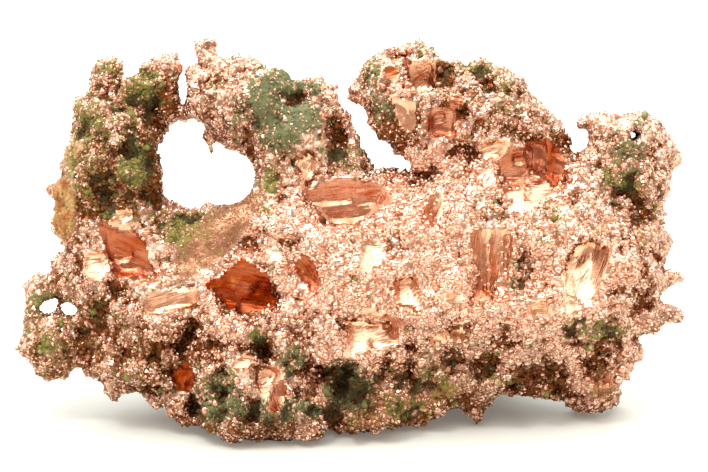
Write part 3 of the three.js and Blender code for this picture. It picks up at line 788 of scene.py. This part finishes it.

# %% [markdown]
# ## Colour patches
#
# What lies on the copper is written on the skin as numbers from 0 to 1: green carbonate, how blue that
# green is, ochre stain, where it is darker, where the whole crust is dull, and where it is rubbed clean.
# The darker places are painted shade in the pits and on the side of the left arm that faces the hole,
# together with some dark tarnish. Each is a list of soft ellipses on the face.

# %% List the patches
GREEN = [
    (-30.5, 47.5, 1.8, 1.0, 0, 0.8),
    (-26.5, 44.6, 2.8, 2.2, 0, 0.8),
    (-27.2, 35.0, 2.0, 2.6, 0, 1.0),
    (-30.0, 37.0, 6.0, 8.0, 0, 0.3),
    (-33.0, 40.5, 2.0, 2.0, 0, 0.6),
    (-21.4, 27.2, 2.6, 1.9, 0, 0.9),
    (-26.0, 28.6, 2.0, 1.2, 0, 0.5),
    (-9.4, 45.2, 3.6, 2.4, 0, 1.0),
    (-10.2, 40.8, 2.8, 4.4, 20, 1.0),
    (-6.3, 41.2, 2.6, 2.2, 0, 0.95),
    (-5.0, 44.6, 1.6, 1.2, 0, 0.8),
    (-14.4, 41.0, 1.6, 2.4, 0, 0.55),
    (-10.5, 32.8, 1.8, 2.2, 0, 0.85),
    (-11.2, 29.0, 1.1, 1.4, 0, 0.7),
    (-0.9, 36.0, 2.6, 1.9, 0, 0.85),
    (1.8, 46.8, 1.6, 1.6, 0, 0.9),
    (3.9, 41.5, 1.7, 1.4, 0, 0.8),
    (2.4, 44.0, 1.4, 1.2, 0, 0.6),
    (9.0, 49.0, 1.6, 1.0, 0, 0.5),
    (35.8, 40.6, 1.8, 1.0, 0, 0.7),
    (34.2, 36.8, 2.0, 1.6, 0, 0.95),
    (33.5, 33.2, 2.6, 1.8, 0, 0.9),
    (31.0, 30.4, 1.6, 1.0, 0, 0.5),
    (19.2, 20.9, 2.0, 3.6, 0, 0.75),
    (30.0, 14.4, 4.6, 1.7, 0, 0.8),
    (23.0, 12.6, 2.0, 1.0, 0, 0.4),
    (-25.0, 20.5, 2.4, 2.8, 0, 0.5),
    (-16.8, 5.5, 3.0, 3.0, 0, 0.75),
    (-8.6, 4.3, 6.4, 1.7, 0, 0.7),
    (-0.8, 7.5, 2.8, 3.4, 0, 0.7),
    (-39.2, 18.0, 1.6, 1.4, 0, 0.8),
    (-38.5, 12.7, 1.4, 1.6, 0, 0.6),
    (-7.5, 10.8, 1.9, 1.6, 0, 0.75),
    (-12.0, 13.6, 1.4, 1.0, 0, 0.6),
    (0.5, 19.8, 1.4, 2.2, 0, 0.65),
    (17.2, 29.0, 2.2, 1.4, 0, 0.6),
    (25.2, 29.0, 1.6, 2.4, 0, 0.65),
    (30.0, 27.5, 1.4, 1.8, 0, 0.6),
    (23.0, 26.5, 1.2, 1.0, 0, 0.6),
    (-10.5, 22.8, 1.8, 1.0, 0, 0.45),
    (11.0, 17.4, 1.4, 1.0, 0, 0.4),
    (6.0, 4.6, 3.0, 1.6, 0, 0.5),
    (37.0, 31.0, 2.4, 5.0, 0, 0.3),
    (31.0, 39.4, 3.0, 1.4, 0, 0.5),
    (15.0, 47.4, 3.0, 1.2, 0, 0.5),
    (20.0, 43.4, 3.0, 1.6, -30, 0.4),
    (-16.0, 44.0, 3.0, 3.0, 0, 0.3),
    (9.0, 8.6, 4.0, 2.0, 0, 0.4),
]
BLUE = [
    (-9.0, 42.0, 7.0, 6.0, 0, 1.0),
    (-12.0, 5.0, 12.0, 4.0, 0, 0.9),
    (-0.8, 7.5, 3.4, 4.0, 0, 1.0),
    (2.0, 44.5, 3.6, 4.0, 0, 0.7),
    (34.4, 38.0, 3.6, 4.4, 0, 0.7),
    (-7.5, 10.8, 2.2, 2.0, 0, 0.7),
    (-39.0, 17.0, 2.6, 3.0, 0, 0.5),
]
OCHRE = [
    (-36.4, 29.6, 1.8, 4.2, 0, 0.95),
    (-35.2, 36.4, 1.6, 2.6, -10, 0.6),
    (-34.0, 30.0, 2.0, 2.0, 0, 0.4),
    (11.4, 6.8, 2.2, 1.2, 10, 0.7),
    (1.5, 3.0, 2.0, 1.4, 0, 0.55),
    (35.6, 26.0, 1.0, 1.4, 0, 0.6),
    (31.2, 7.5, 1.7, 2.6, 0, 0.65),
    (-6.0, 42.0, 0.8, 0.8, 0, 0.9),
    (17.0, 9.0, 3.0, 2.0, 0, 0.4),
    (-32.0, 12.0, 2.6, 2.0, 0, 0.4),
    (5.0, 4.6, 8.0, 2.0, 8, 0.5),
    (20.0, 8.4, 6.0, 1.8, 0, 0.4),
    (-10.0, 2.6, 8.0, 1.6, 0, 0.35),
]
# Darker places: painted shade in the pits and on the side of the left arm that faces the hole, where shade
# falls, together with some tarnish. The two widest rows make the bottom darker.
SHADE_AND_TARNISH = [
    (-25.0, 35.5, 1.6, 5.4, 0, 0.9),
    (-23.4, 43.5, 2.0, 2.2, 0, 0.9),
    (-29.4, 29.2, 2.0, 1.2, 0, 0.8),
    (-31.6, 33.0, 4.0, 4.0, 0, 0.3),
    (4.5, 38.6, 2.4, 4.4, -32, 0.8),
    (11.2, 46.5, 1.2, 2.0, 0, 0.9),
    (12.4, 41.8, 1.6, 1.2, 0, 0.9),
    (26.2, 37.5, 1.6, 1.9, 0, 0.7),
    (23.0, 8.0, 3.8, 2.0, 0, 0.8),
    (-20.0, 12.5, 2.0, 3.4, 15, 0.6),
    (-11.4, 11.8, 1.8, 1.8, 0, 0.7),
    (-16.0, 1.6, 22.0, 2.6, 0, 0.25),
    (14.0, 4.0, 20.0, 2.6, 0, 0.2),
    (-0.8, 7.5, 2.4, 3.4, 0, 0.8),
    (-3.0, 37.0, 2.0, 4.0, 0, 0.4),
]
# Where the whole crust is duller, browner and specked with green.
DULL = [
    (-31.0, 37.0, 8.0, 12.0, 0, 0.9),
    (-24.5, 44.0, 4.0, 4.0, 0, 0.7),
    (-35.0, 14.0, 8.0, 8.0, 0, 1.0),
    (-25.0, 10.0, 7.0, 6.0, 0, 0.9),
    (-14.0, 6.0, 9.0, 5.0, 0, 0.8),
    (2.0, 5.6, 9.0, 4.6, 0, 0.9),
    (14.0, 9.0, 8.0, 5.5, 0, 0.8),
    (24.0, 8.0, 6.0, 4.0, 0, 0.8),
    (31.0, 9.0, 5.0, 6.0, 0, 0.5),
    (37.5, 26.0, 3.4, 14.0, 0, 0.45),
    (5.0, 45.0, 5.0, 5.0, 0, 0.55),
    (15.0, 44.5, 9.0, 4.4, -15, 0.8),
    (22.0, 40.0, 5.0, 3.4, -30, 0.7),
    (-16.0, 45.0, 5.0, 5.0, 0, 0.4),
    (-9.0, 40.0, 7.0, 7.0, 0, 0.6),
    (-12.0, 11.5, 6.0, 3.4, 0, 0.7),
    (-20.0, 15.0, 4.0, 4.0, 0, 0.6),
    (-22.0, 27.0, 4.0, 3.0, 0, 0.7),
    (33.5, 35.0, 4.0, 5.0, 0, 0.42),
]
# Where the metal is rubbed clean and brightest.
CLEAN = [
    (3.0, 24.0, 14.0, 8.6, 0, 1.0),
    (20.0, 22.0, 14.0, 8.4, 0, 0.75),
    (13.0, 32.0, 12.0, 4.6, 0, 0.6),
    (-12.0, 22.0, 8.0, 8.0, 0, 0.5),
    (-28.0, 24.0, 5.0, 4.0, 0, 0.5),
    (3.0, 13.0, 6.0, 5.0, 0, 0.8),
    (14.0, 11.0, 7.0, 4.0, 0, 0.55),
    (-12.0, 8.0, 9.0, 4.0, 0, 0.5),
    (28.0, 10.0, 7.0, 4.0, 0, 0.45),
]
# A smooth band that carries only the finest crystals, and looks matte.
MATTE = [(-17.3, 26.3, 7.8, 2.7, 46, 1.0)]
print("patches of green:", len(GREEN), "of ochre:", len(OCHRE), "of tarnish:", len(SHADE_AND_TARNISH))

# %% [markdown]
# ## Marks on the skin
#
# The patches become attributes of the mesh, and the grains inherit them from the skin they grow on.
# Two more are measured. Hollow is how far the skin lies below its own smoothed shape: carbonate gathers
# in hollows, and the finish darkens them as painted shade. Underside is how far it looks down, and the
# finish darkens what looks down as painted shade.

# %% Write the marks
SHALLOW = 0.6 * MM  # a hollow this deep counts as full between crumbs
DEEP = 1.6 * MM  # and this deep between lumps
CRUMB_ROUNDS = 25  # softening that smooths the crumbs away
LUMP_ROUNDS = 175  # and the lumps


def store(mesh, name, values):
    layer = mesh.attributes.new(name, "FLOAT", "POINT")
    layer.data.foreach_set("value", np.clip(values, 0, 1).astype(np.float32))


across, up, out = plate_coords(co)
face_on = front(out, lowest=-4)
normals = values_of(body.data, "vertices", "normal", 3)
small = np.stack([soften(body.data, co[:, i], CRUMB_ROUNDS) for i in range(3)], axis=1)
large = np.stack([soften(body.data, small[:, i], LUMP_ROUNDS) for i in range(3)], axis=1)
between_crumbs = np.sum((small - co) * normals, axis=1) / SHALLOW
between_lumps = np.sum((large - co) * normals, axis=1) / DEEP
# Hollow darkens the crust as painted shade, and draws carbonate.
hollow = np.maximum(between_crumbs, 0) + np.maximum(between_lumps, 0)
matte = spread(MATTE, across, up, edge=0.2) * face_on
clean = spread(CLEAN, across, up) * face_on
# The back has less carbonate than the face, and the matte band hardly any.
green = spread(GREEN, across, up, edge=0.85) * (0.4 + 0.6 * face_on)
marks = {
    "green": green * (1 - 0.8 * matte),
    "blue": spread(BLUE, across, up),
    "ochre": spread(OCHRE, across, up),
    "dark": spread(SHADE_AND_TARNISH, across, up),
    "dull": spread(DULL, across, up),
    "clean": clean,
    "hollow": hollow,
    # Painted shade: the finish darkens what looks down.
    "underside": 0.5 - 0.5 * normals[:, 2],
    "matte": matte,
}
for name, values in marks.items():
    store(body.data, name, values)
print("mean marks:", {name: round(float(values.mean()), 2) for name, values in marks.items()})

# %% [markdown]
# ## Growth lines
#
# A crystal face carries fine parallel lines, and the prints keep them. Each point takes the direction of
# the nearest print. Its place is kept as an attribute of its own, in millimetres, whose first axis runs
# along the lines, so that a stretched noise can draw them.

# %% Give each print its direction
middles = np.array([np.mean(row[0], axis=0) for row in IMPRINTS])
reach = np.array([np.ptp(np.array(row[0]), axis=0).mean() for row in IMPRINTS])
gap = np.hypot(across[:, None] - middles[:, 0], up[:, None] - middles[:, 1]) / reach
nearest = np.argmin(gap, axis=1)
angle = np.radians(np.array([row[3] for row in IMPRINTS]))[nearest]
along = across * np.cos(angle) + up * np.sin(angle)
aside = up * np.cos(angle) - across * np.sin(angle)
lines = body.data.attributes.new("growth", "FLOAT_VECTOR", "POINT")
lines.data.foreach_set("vector", np.stack([along, aside, out], axis=1).astype(np.float32).ravel())
# How deep each print's orange to red is: partly oxide, partly painted shade and reflection.
store(body.data, "film_and_shade", np.array([row[4] for row in IMPRINTS])[nearest])
print("growth lines on", len(IMPRINTS), "imprints")

# %% [markdown]
# ## A helper for nodes
#
# One function adds a node to a tree, sets it and links it, whatever its kind. It gives back the output
# that the next node wants, so that the trees below read from top to bottom.

# %% Node helper


def add(tree, kind, inputs=None, output=0, **settings):
    """Adds a node. An input given a socket is linked to it, and any other value is set on it."""
    node = tree.nodes.new(kind)
    for name, value in settings.items():
        setattr(node, name, value)
    for key, value in (inputs or {}).items():
        if isinstance(value, bpy.types.NodeSocket):
            tree.links.new(value, node.inputs[key])
        else:
            node.inputs[key].default_value = value
    return node.outputs[output] if node.outputs else node


print("node helper ready for Blender", bpy.app.version_string)

# %% [markdown]
# ## The crust of crystals
#
# The skin is covered with tiny copper crystals, most of them a quarter to half a millimetre across.
# Geometry nodes spread points over the crust, put a small octahedron on each at a random turn and size,
# and make them real. Each crystal keeps a random tone of its own.

# %% Scatter crystals
SINK = 0.06 * MM  # how far a crystal's middle sits under the skin
LEAST_STRETCH, MOST_STRETCH = 0.7, 1.3


def scatter(name, source, where, density, shape, sizes, seed, rounded):
    """A new object made of copies of a shape, spread over the crust of the source."""
    least, most = sizes
    tree = bpy.data.node_groups.new(name, "GeometryNodeTree")
    for way in ("INPUT", "OUTPUT"):
        tree.interface.new_socket("Geometry", in_out=way, socket_type="NodeSocketGeometry")
    skin = add(tree, "NodeGroupInput")
    slot = add(tree, "GeometryNodeInputMaterialIndex")
    is_crust = add(tree, "FunctionNodeCompare", {2: slot, 3: 0}, data_type="INT", operation="EQUAL")
    weight = add(tree, "GeometryNodeInputNamedAttribute", {"Name": where}, data_type="FLOAT")
    amount = add(tree, "ShaderNodeMath", {0: weight, 1: density}, operation="MULTIPLY")
    points = add(
        tree,
        "GeometryNodeDistributePointsOnFaces",
        {"Mesh": skin, "Selection": is_crust, "Density": amount, "Seed": seed},
    )
    tone = add(tree, "FunctionNodeRandomValue", {2: 0.0, 3: 1.0, "Seed": seed + 7}, 1, data_type="FLOAT")
    toned = add(
        tree,
        "GeometryNodeStoreNamedAttribute",
        {"Geometry": points, "Name": "tone", "Value": tone},
        data_type="FLOAT",
        domain="POINT",
    )
    normal = points.node.outputs["Normal"]
    sunk = add(tree, "ShaderNodeVectorMath", {0: normal, "Scale": -SINK}, operation="SCALE")
    placed = add(tree, "GeometryNodeSetPosition", {"Geometry": toned, "Offset": sunk})
    turn = add(
        tree,
        "FunctionNodeRandomValue",
        {0: (0.0, 0.0, 0.0), 1: (math.tau, math.tau, math.tau), "Seed": seed + 1},
        data_type="FLOAT_VECTOR",
    )
    turned = add(tree, "FunctionNodeEulerToRotation", {0: turn})
    # Squaring the chance makes small crystals the common ones.
    chance = add(tree, "FunctionNodeRandomValue", {2: 0.0, 3: 1.0, "Seed": seed + 2}, 1, data_type="FLOAT")
    skewed = add(tree, "ShaderNodeMath", {0: chance, 1: 2.0}, operation="POWER")
    size = add(tree, "ShaderNodeMath", {0: skewed, 1: most - least, 2: least}, operation="MULTIPLY_ADD")
    stretch = add(
        tree,
        "FunctionNodeRandomValue",
        {0: (LEAST_STRETCH,) * 3, 1: (MOST_STRETCH,) * 3, "Seed": seed + 3},
        data_type="FLOAT_VECTOR",
    )
    scale = add(tree, "ShaderNodeVectorMath", {0: stretch, "Scale": size}, operation="SCALE")
    copies = add(
        tree,
        "GeometryNodeInstanceOnPoints",
        {
            "Points": placed,
            "Instance": add(tree, "GeometryNodeObjectInfo", {"Object": shape}, "Geometry"),
            "Rotation": turned,
            "Scale": scale,
        },
    )
    add(tree, "NodeGroupOutput", {0: add(tree, "GeometryNodeRealizeInstances", {0: copies})})

    piece = bpy.data.objects.new(name, source.data.copy())
    scene.collection.objects.link(piece)
    piece.modifiers.new("Scatter", "NODES").node_group = tree
    bake(piece)
    piece.data.materials.clear()
    piece.data.materials.append(crust_copper)
    faces = piece.data.polygons
    faces.foreach_set("use_smooth", np.full(len(faces), rounded))
    faces.foreach_set("material_index", np.zeros(len(faces), dtype=np.int32))
    return piece


bm = bmesh.new()
bmesh.ops.create_uvsphere(bm, u_segments=4, v_segments=2, radius=0.5 * MM)
octahedron = new_object("octahedron", bm)
print("one crystal has", len(octahedron.data.polygons), "faces")

# %% [markdown]
# ## Where the crystals grow
#
# Smooth ground carries no crystals and the back carries fewer, and they leave off just above the ground.
# Round the rim of a print they grow even on smooth ground. The crust is made in several pieces, each
# with its own seed, so that none gets too heavy. Half of them are shaded smooth: their crystals glint
# softly, while the others flash. Large crystals stand on the cleanest metal, and fine ones frost the
# matte band.

# %% Grow the crystals
# The piece, the attribute that it follows, how many crystals, the least and greatest size in
# millimetres, the seed, and whether they are shaded smooth. Many real crystals are finer than these.
CRYSTALS = [
    ("crystal_crust_1", "grain", 20500, (0.25, 0.68), 0, True),
    ("crystal_crust_2", "grain", 20500, (0.25, 0.68), 100, False),
    ("crystal_crust_3", "grain", 20500, (0.25, 0.68), 200, True),
    ("crystal_crust_4", "grain", 20500, (0.25, 0.68), 300, False),
    ("large_crystals", "large", 5000, (0.5, 1.4), 900, True),
    ("fine_crystals", "matte", 9000, (0.16, 0.36), 950, False),
]
CLEARANCE = 0.4 * MM  # the crust leaves off this far above the ground
BACK_SHARE = 0.25  # how dense the crystals are on the back
PLAIN_SHARE = 0.15  # how dense the large ones are where the metal isn't rubbed clean

# The face and what looks up are fully covered.
facing = normals @ np.array(OUT) + 0.35 * normals[:, 2]
seen = BACK_SHARE + (1 - BACK_SHARE) * np.clip(facing + 0.9, 0, 1)
rim = soften(body.data, printed, 3)
bare = spread(SMOOTH, across, up, edge=0.3) * front(out) * (1 - 4 * rim * (1 - rim))
clear = co[:, 2] > CAD_BOX[0].z + CLEARANCE
grain = seen * (1 - bare) * crust_here * clear
large = grain * (PLAIN_SHARE + (1 - PLAIN_SHARE) * clean)
amounts = {"grain": grain, "large": large, "matte": matte}
store(body.data, "grain", amounts["grain"])
store(body.data, "large", amounts["large"])
areas = values_of(body.data, "polygons", "area") * (values_of(body.data, "polygons", "material_index") == 0)
crust = []
for name, where, count, sizes, seed, rounded in CRYSTALS:
    per_area = count / float(np.sum(areas * face_mean(body.data, amounts[where])))
    piece = scatter(name, body, where, per_area, octahedron, sizes, seed, rounded)
    print(name, len(piece.data.polygons), "faces")
    crust.append(piece)
bpy.data.objects.remove(octahedron)
# Only the body keeps this mark, which tells the skin between the grains from the grains.
store(body.data, "skin", 1 - bare)

# %% [markdown]
# ## Masks and coats
#
# Colours are written as hex and turned into the linear values that the shader wants. Every stain, and
# every painted shade, sits where several clues agree, such as a hollow, a patch and some chance. So one
# function adds up clues by weight, one turns such a sum into a mask, and one lays coats of colour over
# each other through masks.

# %% Masks and coats


def colour(hex_code):
    channels = [int(hex_code[i : i + 2], 16) / 255 for i in (1, 3, 5)]
    return [c / 12.92 if c <= 0.04045 else ((c + 0.055) / 1.055) ** 2.4 for c in channels] + [1.0]


def weigh(tree, total, *clues, **settings):
    """Adds clues, each a value and its weight, to a first total."""
    for value, weight in clues:
        inputs = {0: value, 1: weight, 2: total}
        total = add(tree, "ShaderNodeMath", inputs, operation="MULTIPLY_ADD", **settings)
    return total


def mask(tree, total, *clues, low, high):
    """The weighed clues as a mask, which goes smoothly from 0 at low to 1 at high."""
    inputs = {0: weigh(tree, total, *clues), 1: low, 2: high}
    return add(tree, "ShaderNodeMapRange", inputs, interpolation_type="SMOOTHSTEP")


def coat(tree, base, *coats):
    """Lays coats over a base colour, each a mask and a colour."""
    for cover, paint in coats:
        base = add(tree, "ShaderNodeMix", {0: cover, 6: base, 7: paint}, output=2, data_type="RGBA")
    return base


print("copper in linear values:", [round(c, 2) for c in colour("#F0CDB8")])

# %% [markdown]
# ## The crust's finish
#
# The crust is native copper as it grew, never worked or polished. Every crystal face is a small mirror,
# so it glitters. The metal is fresh and pink on the high points and brown with tarnish in places, and the
# hollows, pits, downward faces and the skin between the grains are painted brown as well, as painted
# shade. A matte green to blue-green carbonate lies over it in patches, with a little ochre stain. The
# carbonate breaks up from grain to grain. Metal and carbonate differ in more than colour: the carbonate
# isn't metallic, and it is rougher.

# %% Crust finish
MARKS = ["tone", "hollow", "clean", "dark", "dull", "skin", "underside", "matte", "green", "blue", "ochre"]
# Blotches, speckles and grit: the size in millimetres, and a seed. Real grit is finer than this.
NOISES = [(1.5, 1), (0.5, 2), (0.22, 3)]

crust_copper.use_nodes = True
tree = crust_copper.node_tree
mark = {name: add(tree, "ShaderNodeAttribute", output="Fac", attribute_name=name) for name in MARKS}
place = add(tree, "ShaderNodeTexCoord", output="Object")
blotch, speckle, grit = (
    add(
        tree,
        "ShaderNodeTexNoise",
        {"Vector": place, "W": seed, "Scale": 1 / (size * MM)},
        noise_dimensions="4D",
    )
    for size, seed in NOISES
)
# Tarnish takes one grain and leaves the next. The same mask carries painted shade: it darkens hollows,
# the shaded pits and arm side, faces that look down, and the skin between the grains.
tarnish_and_painted_shade = mask(
    tree,
    -1.12,
    (mark["dark"], 0.65),
    (mark["hollow"], 0.75),
    (mark["underside"], 0.28),
    (mark["clean"], -0.38),
    (blotch, 0.7),
    (mark["skin"], 0.9),
    (mark["dull"], 0.2),
    (mark["tone"], 0.85),
    (speckle, 0.5),
    low=0.2,
    high=0.85,
)
ochre = mask(tree, mark["ochre"], (speckle, 0.8), low=0.75, high=1.15)
# Carbonate leaves about every third grain bare.
green = mask(
    tree,
    0.0,
    (mark["green"], 0.88),
    (blotch, 1.2),
    (mark["hollow"], 0.2),
    (mark["dull"], 0.42),
    (mark["skin"], -0.45),
    (mark["tone"], -1.3),
    (speckle, 0.6),
    low=1.02,
    high=1.26,
)
# Painted shade on the carbonate: it is darker in hollows, in the shaded pits and on the skin between the
# grains, broken up by speckle.
deep = mask(
    tree,
    1.0,
    (speckle, -1.0),
    (mark["hollow"], 0.6),
    (mark["skin"], 0.3),
    (mark["dark"], 0.4),
    low=0.64,
    high=1.04,
)
patchy = mask(tree, blotch, low=0.35, high=0.65)
frosted = weigh(tree, 0.0, (mark["matte"], 0.85))
metal = coat(
    tree,
    colour("#F0CDB8"),
    (mark["tone"], colour("#EDB494")),
    (tarnish_and_painted_shade, colour("#74401E")),
    (frosted, colour("#A0704C")),
)
carbonate = coat(tree, colour("#7E782B"), (mark["blue"], colour("#676C42")), (deep, colour("#453F1C")))
stain = coat(tree, colour("#A0642E"), (patchy, colour("#C49A62")))
cover = weigh(tree, green, (ochre, 0.6), use_clamp=True)
rough = weigh(
    tree,
    0.2,
    (mark["tone"], 0.14),
    (tarnish_and_painted_shade, 0.16),
    (mark["matte"], 0.18),
    (cover, 0.4),
    use_clamp=True,
)
bump = add(tree, "ShaderNodeBump", {"Height": grit, "Strength": 0.35, "Distance": 0.05 * MM})
crust_shader = tree.nodes["Principled BSDF"].inputs
tree.links.new(coat(tree, metal, (ochre, stain), (green, carbonate)), crust_shader["Base Color"])
tree.links.new(weigh(tree, 1.0, (cover, -1.0)), crust_shader["Metallic"])
tree.links.new(rough, crust_shader["Roughness"])
tree.links.new(bump, crust_shader["Normal"])
print(crust_copper.name, "has", len(tree.nodes), "nodes")

# %% [markdown]
# ## The imprints' finish
#
# The imprints are the same metal, smooth as the crystals that it grew against, with fine growth lines
# that catch the light. They are orange to deep red, more on some than on others: partly a thin film of red
# copper oxide, and partly painted shade and painted copper-red reflection from the pocket's walls. Two
# noises stretched along the lines draw them as colour bands and as relief.

# %% Imprint finish
facet_copper.use_nodes = True
tree = facet_copper.node_tree
growth_place = add(tree, "ShaderNodeAttribute", output="Vector", attribute_name="growth")
fine = add(tree, "ShaderNodeMapping", {"Vector": growth_place, "Scale": (0.1, 1.0, 1.0)})
coarse = add(tree, "ShaderNodeMapping", {"Vector": growth_place, "Scale": (0.25, 1.0, 0.6)})
place = add(tree, "ShaderNodeTexCoord", output="Object")
# Lines and bands follow the growth in millimetres, and flaws lie anywhere, in metres.
lines, bands, flaws = (
    add(
        tree,
        "ShaderNodeTexNoise",
        {"Vector": where, "W": seed, "Scale": 1 / size, "Detail": detail},
        noise_dimensions="4D",
    )
    for where, size, detail, seed in ((fine, 0.35, 3, 4), (coarse, 1.3, 2, 6), (place, 1.2 * MM, 3, 5))
)
# Orange to deep red: partly an oxide film, partly painted shade and reflection in the pocket.
film_and_shade = add(tree, "ShaderNodeAttribute", output="Fac", attribute_name="film_and_shade")
film_and_shade = weigh(tree, film_and_shade, (weigh(tree, -0.5, (bands, 1.0)), 0.7), use_clamp=True)
flawed = mask(tree, flaws, low=0.55, high=0.75)
base = coat(tree, colour("#FACBA8"), (film_and_shade, colour("#9E3D10")), (flawed, colour("#C8703A")))
height = weigh(tree, lines, (bands, 2.0))
bump = add(tree, "ShaderNodeBump", {"Height": height, "Strength": 1.0, "Distance": 0.13 * MM})
facet_shader = tree.nodes["Principled BSDF"].inputs
facet_shader["Metallic"].default_value = 1.0
tree.links.new(base, facet_shader["Base Color"])
tree.links.new(weigh(tree, 0.14, (flaws, 0.25)), facet_shader["Roughness"])
tree.links.new(bump, facet_shader["Normal"])
print(facet_copper.name, "has", len(tree.nodes), "nodes")

# %% [markdown]
# ## The floor
#
# The nugget stands on a pale, seamless floor. It gives out a little light of its own, which stands for
# the light that a bright room would throw on it.

# %% Floor
bm = bmesh.new()
floor_level = Matrix.Translation((0, 0, CAD_BOX[0].z))
bmesh.ops.create_grid(bm, x_segments=1, y_segments=1, size=3.0, matrix=floor_level)
floor = new_object("floor", bm)
table_paint = bpy.data.materials.new("softly lit white table")
table_paint.use_nodes = True
paint = table_paint.node_tree.nodes["Principled BSDF"].inputs
paint["Base Color"].default_value = colour("#D2D5CD")
paint["Roughness"].default_value = 0.9
paint["Emission Color"].default_value = colour("#FFFEF2")
paint["Emission Strength"].default_value = 0.13
floor.data.materials.append(table_paint)
print("floor:", [round(side, 1) for side in floor.dimensions], "m")

# %% [markdown]
# ## Lights and surroundings
#
# Bare metal shows what it reflects, so the lights are placed for their reflections. A large softbox
# above gives the bright facets, one behind and strips at the sides draw the edges, and a small spot adds
# glints. The surroundings are pale grey behind and a dimmer, warm tone in front, where the viewer
# stands, which gives the facets that face that way their deep colour.

# %% Lights and world
MIDDLE = at(0, 26, 4)
# The place from the middle in metres, the width and height of the panel, and its power in watts.
LIGHTS = {
    "overhead softbox": ((0, -0.02, 0.62), (0.8, 1.0), 6.2),
    "back softbox": ((0, 0.42, 0.45), (0.7, 0.3), 2.6),
    "key spot": ((-0.22, -0.2, 0.6), (0.12, 0.12), 1.6),
    "left softbox": ((-0.6, -0.1, 0.3), (0.3, 0.6), 1.6),
    "right softbox": ((0.65, 0.05, 0.25), (0.3, 0.6), 1.6),
}
for name, (place, size, power) in LIGHTS.items():
    data = bpy.data.lights.new(name, "AREA")
    data.shape = "RECTANGLE"
    data.size, data.size_y = size
    data.energy = power
    lamp = bpy.data.objects.new(name, data)
    lamp.location = MIDDLE + Vector(place)
    lamp.rotation_euler = (MIDDLE - lamp.location).to_track_quat("-Z", "Y").to_euler()
    scene.collection.objects.link(lamp)

world = bpy.data.worlds.new("studio")
scene.world = world
world.use_nodes = True
tree = world.node_tree
tree.nodes.clear()
direction = add(tree, "ShaderNodeTexCoord", output="Generated")
backward = add(tree, "ShaderNodeSeparateXYZ", {0: direction}, "Y")
from_front = weigh(tree, 0.5, (backward, 0.5))
shade = add(tree, "ShaderNodeValToRGB", {0: from_front})
stops = shade.node.color_ramp.elements
stops[0].position, stops[0].color = 0.1, (0.64, 0.46, 0.36, 1)
stops[1].position, stops[1].color = 0.6, (0.7, 0.7, 0.7, 1)
add(tree, "ShaderNodeOutputWorld", {0: add(tree, "ShaderNodeBackground", {"Color": shade})})
print("lights:", list(LIGHTS))

# %% [markdown]
# ## The camera
#
# The camera looks straight at the good face, so it looks down by as much as the plate leans back. It
# stands at arm's length, and its lens is worked out from the width that it has to take in.

# %% Camera
CAMERA_DISTANCE = 0.56
FRAME_WIDTH = 88.5 * MM  # what the camera takes in at the plate
SENSOR = 36  # millimetres, the usual full frame
camera_data = bpy.data.cameras.new("camera")
camera_data.sensor_width = SENSOR
camera_data.lens = SENSOR * CAMERA_DISTANCE / FRAME_WIDTH
camera_data.clip_end = 20
camera = bpy.data.objects.new("camera", camera_data)
camera.location = at(-0.06, 26.1, 4) + OUT * CAMERA_DISTANCE
camera.rotation_euler = (-OUT).to_track_quat("-Z", "Y").to_euler()
scene.collection.objects.link(camera)
scene.camera = camera
scene.view_settings.view_transform = "Standard"
print("lens:", round(camera_data.lens), "mm")

# %% [markdown]
# ## Handing over
#
# Every piece rides on the one body, and the shaped body stands for the frame's solid.

# %% Finish
for piece in [body, *crust]:
    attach(piece, "root")
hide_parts("copper_nugget")
print("pieces:", 1 + len(crust))
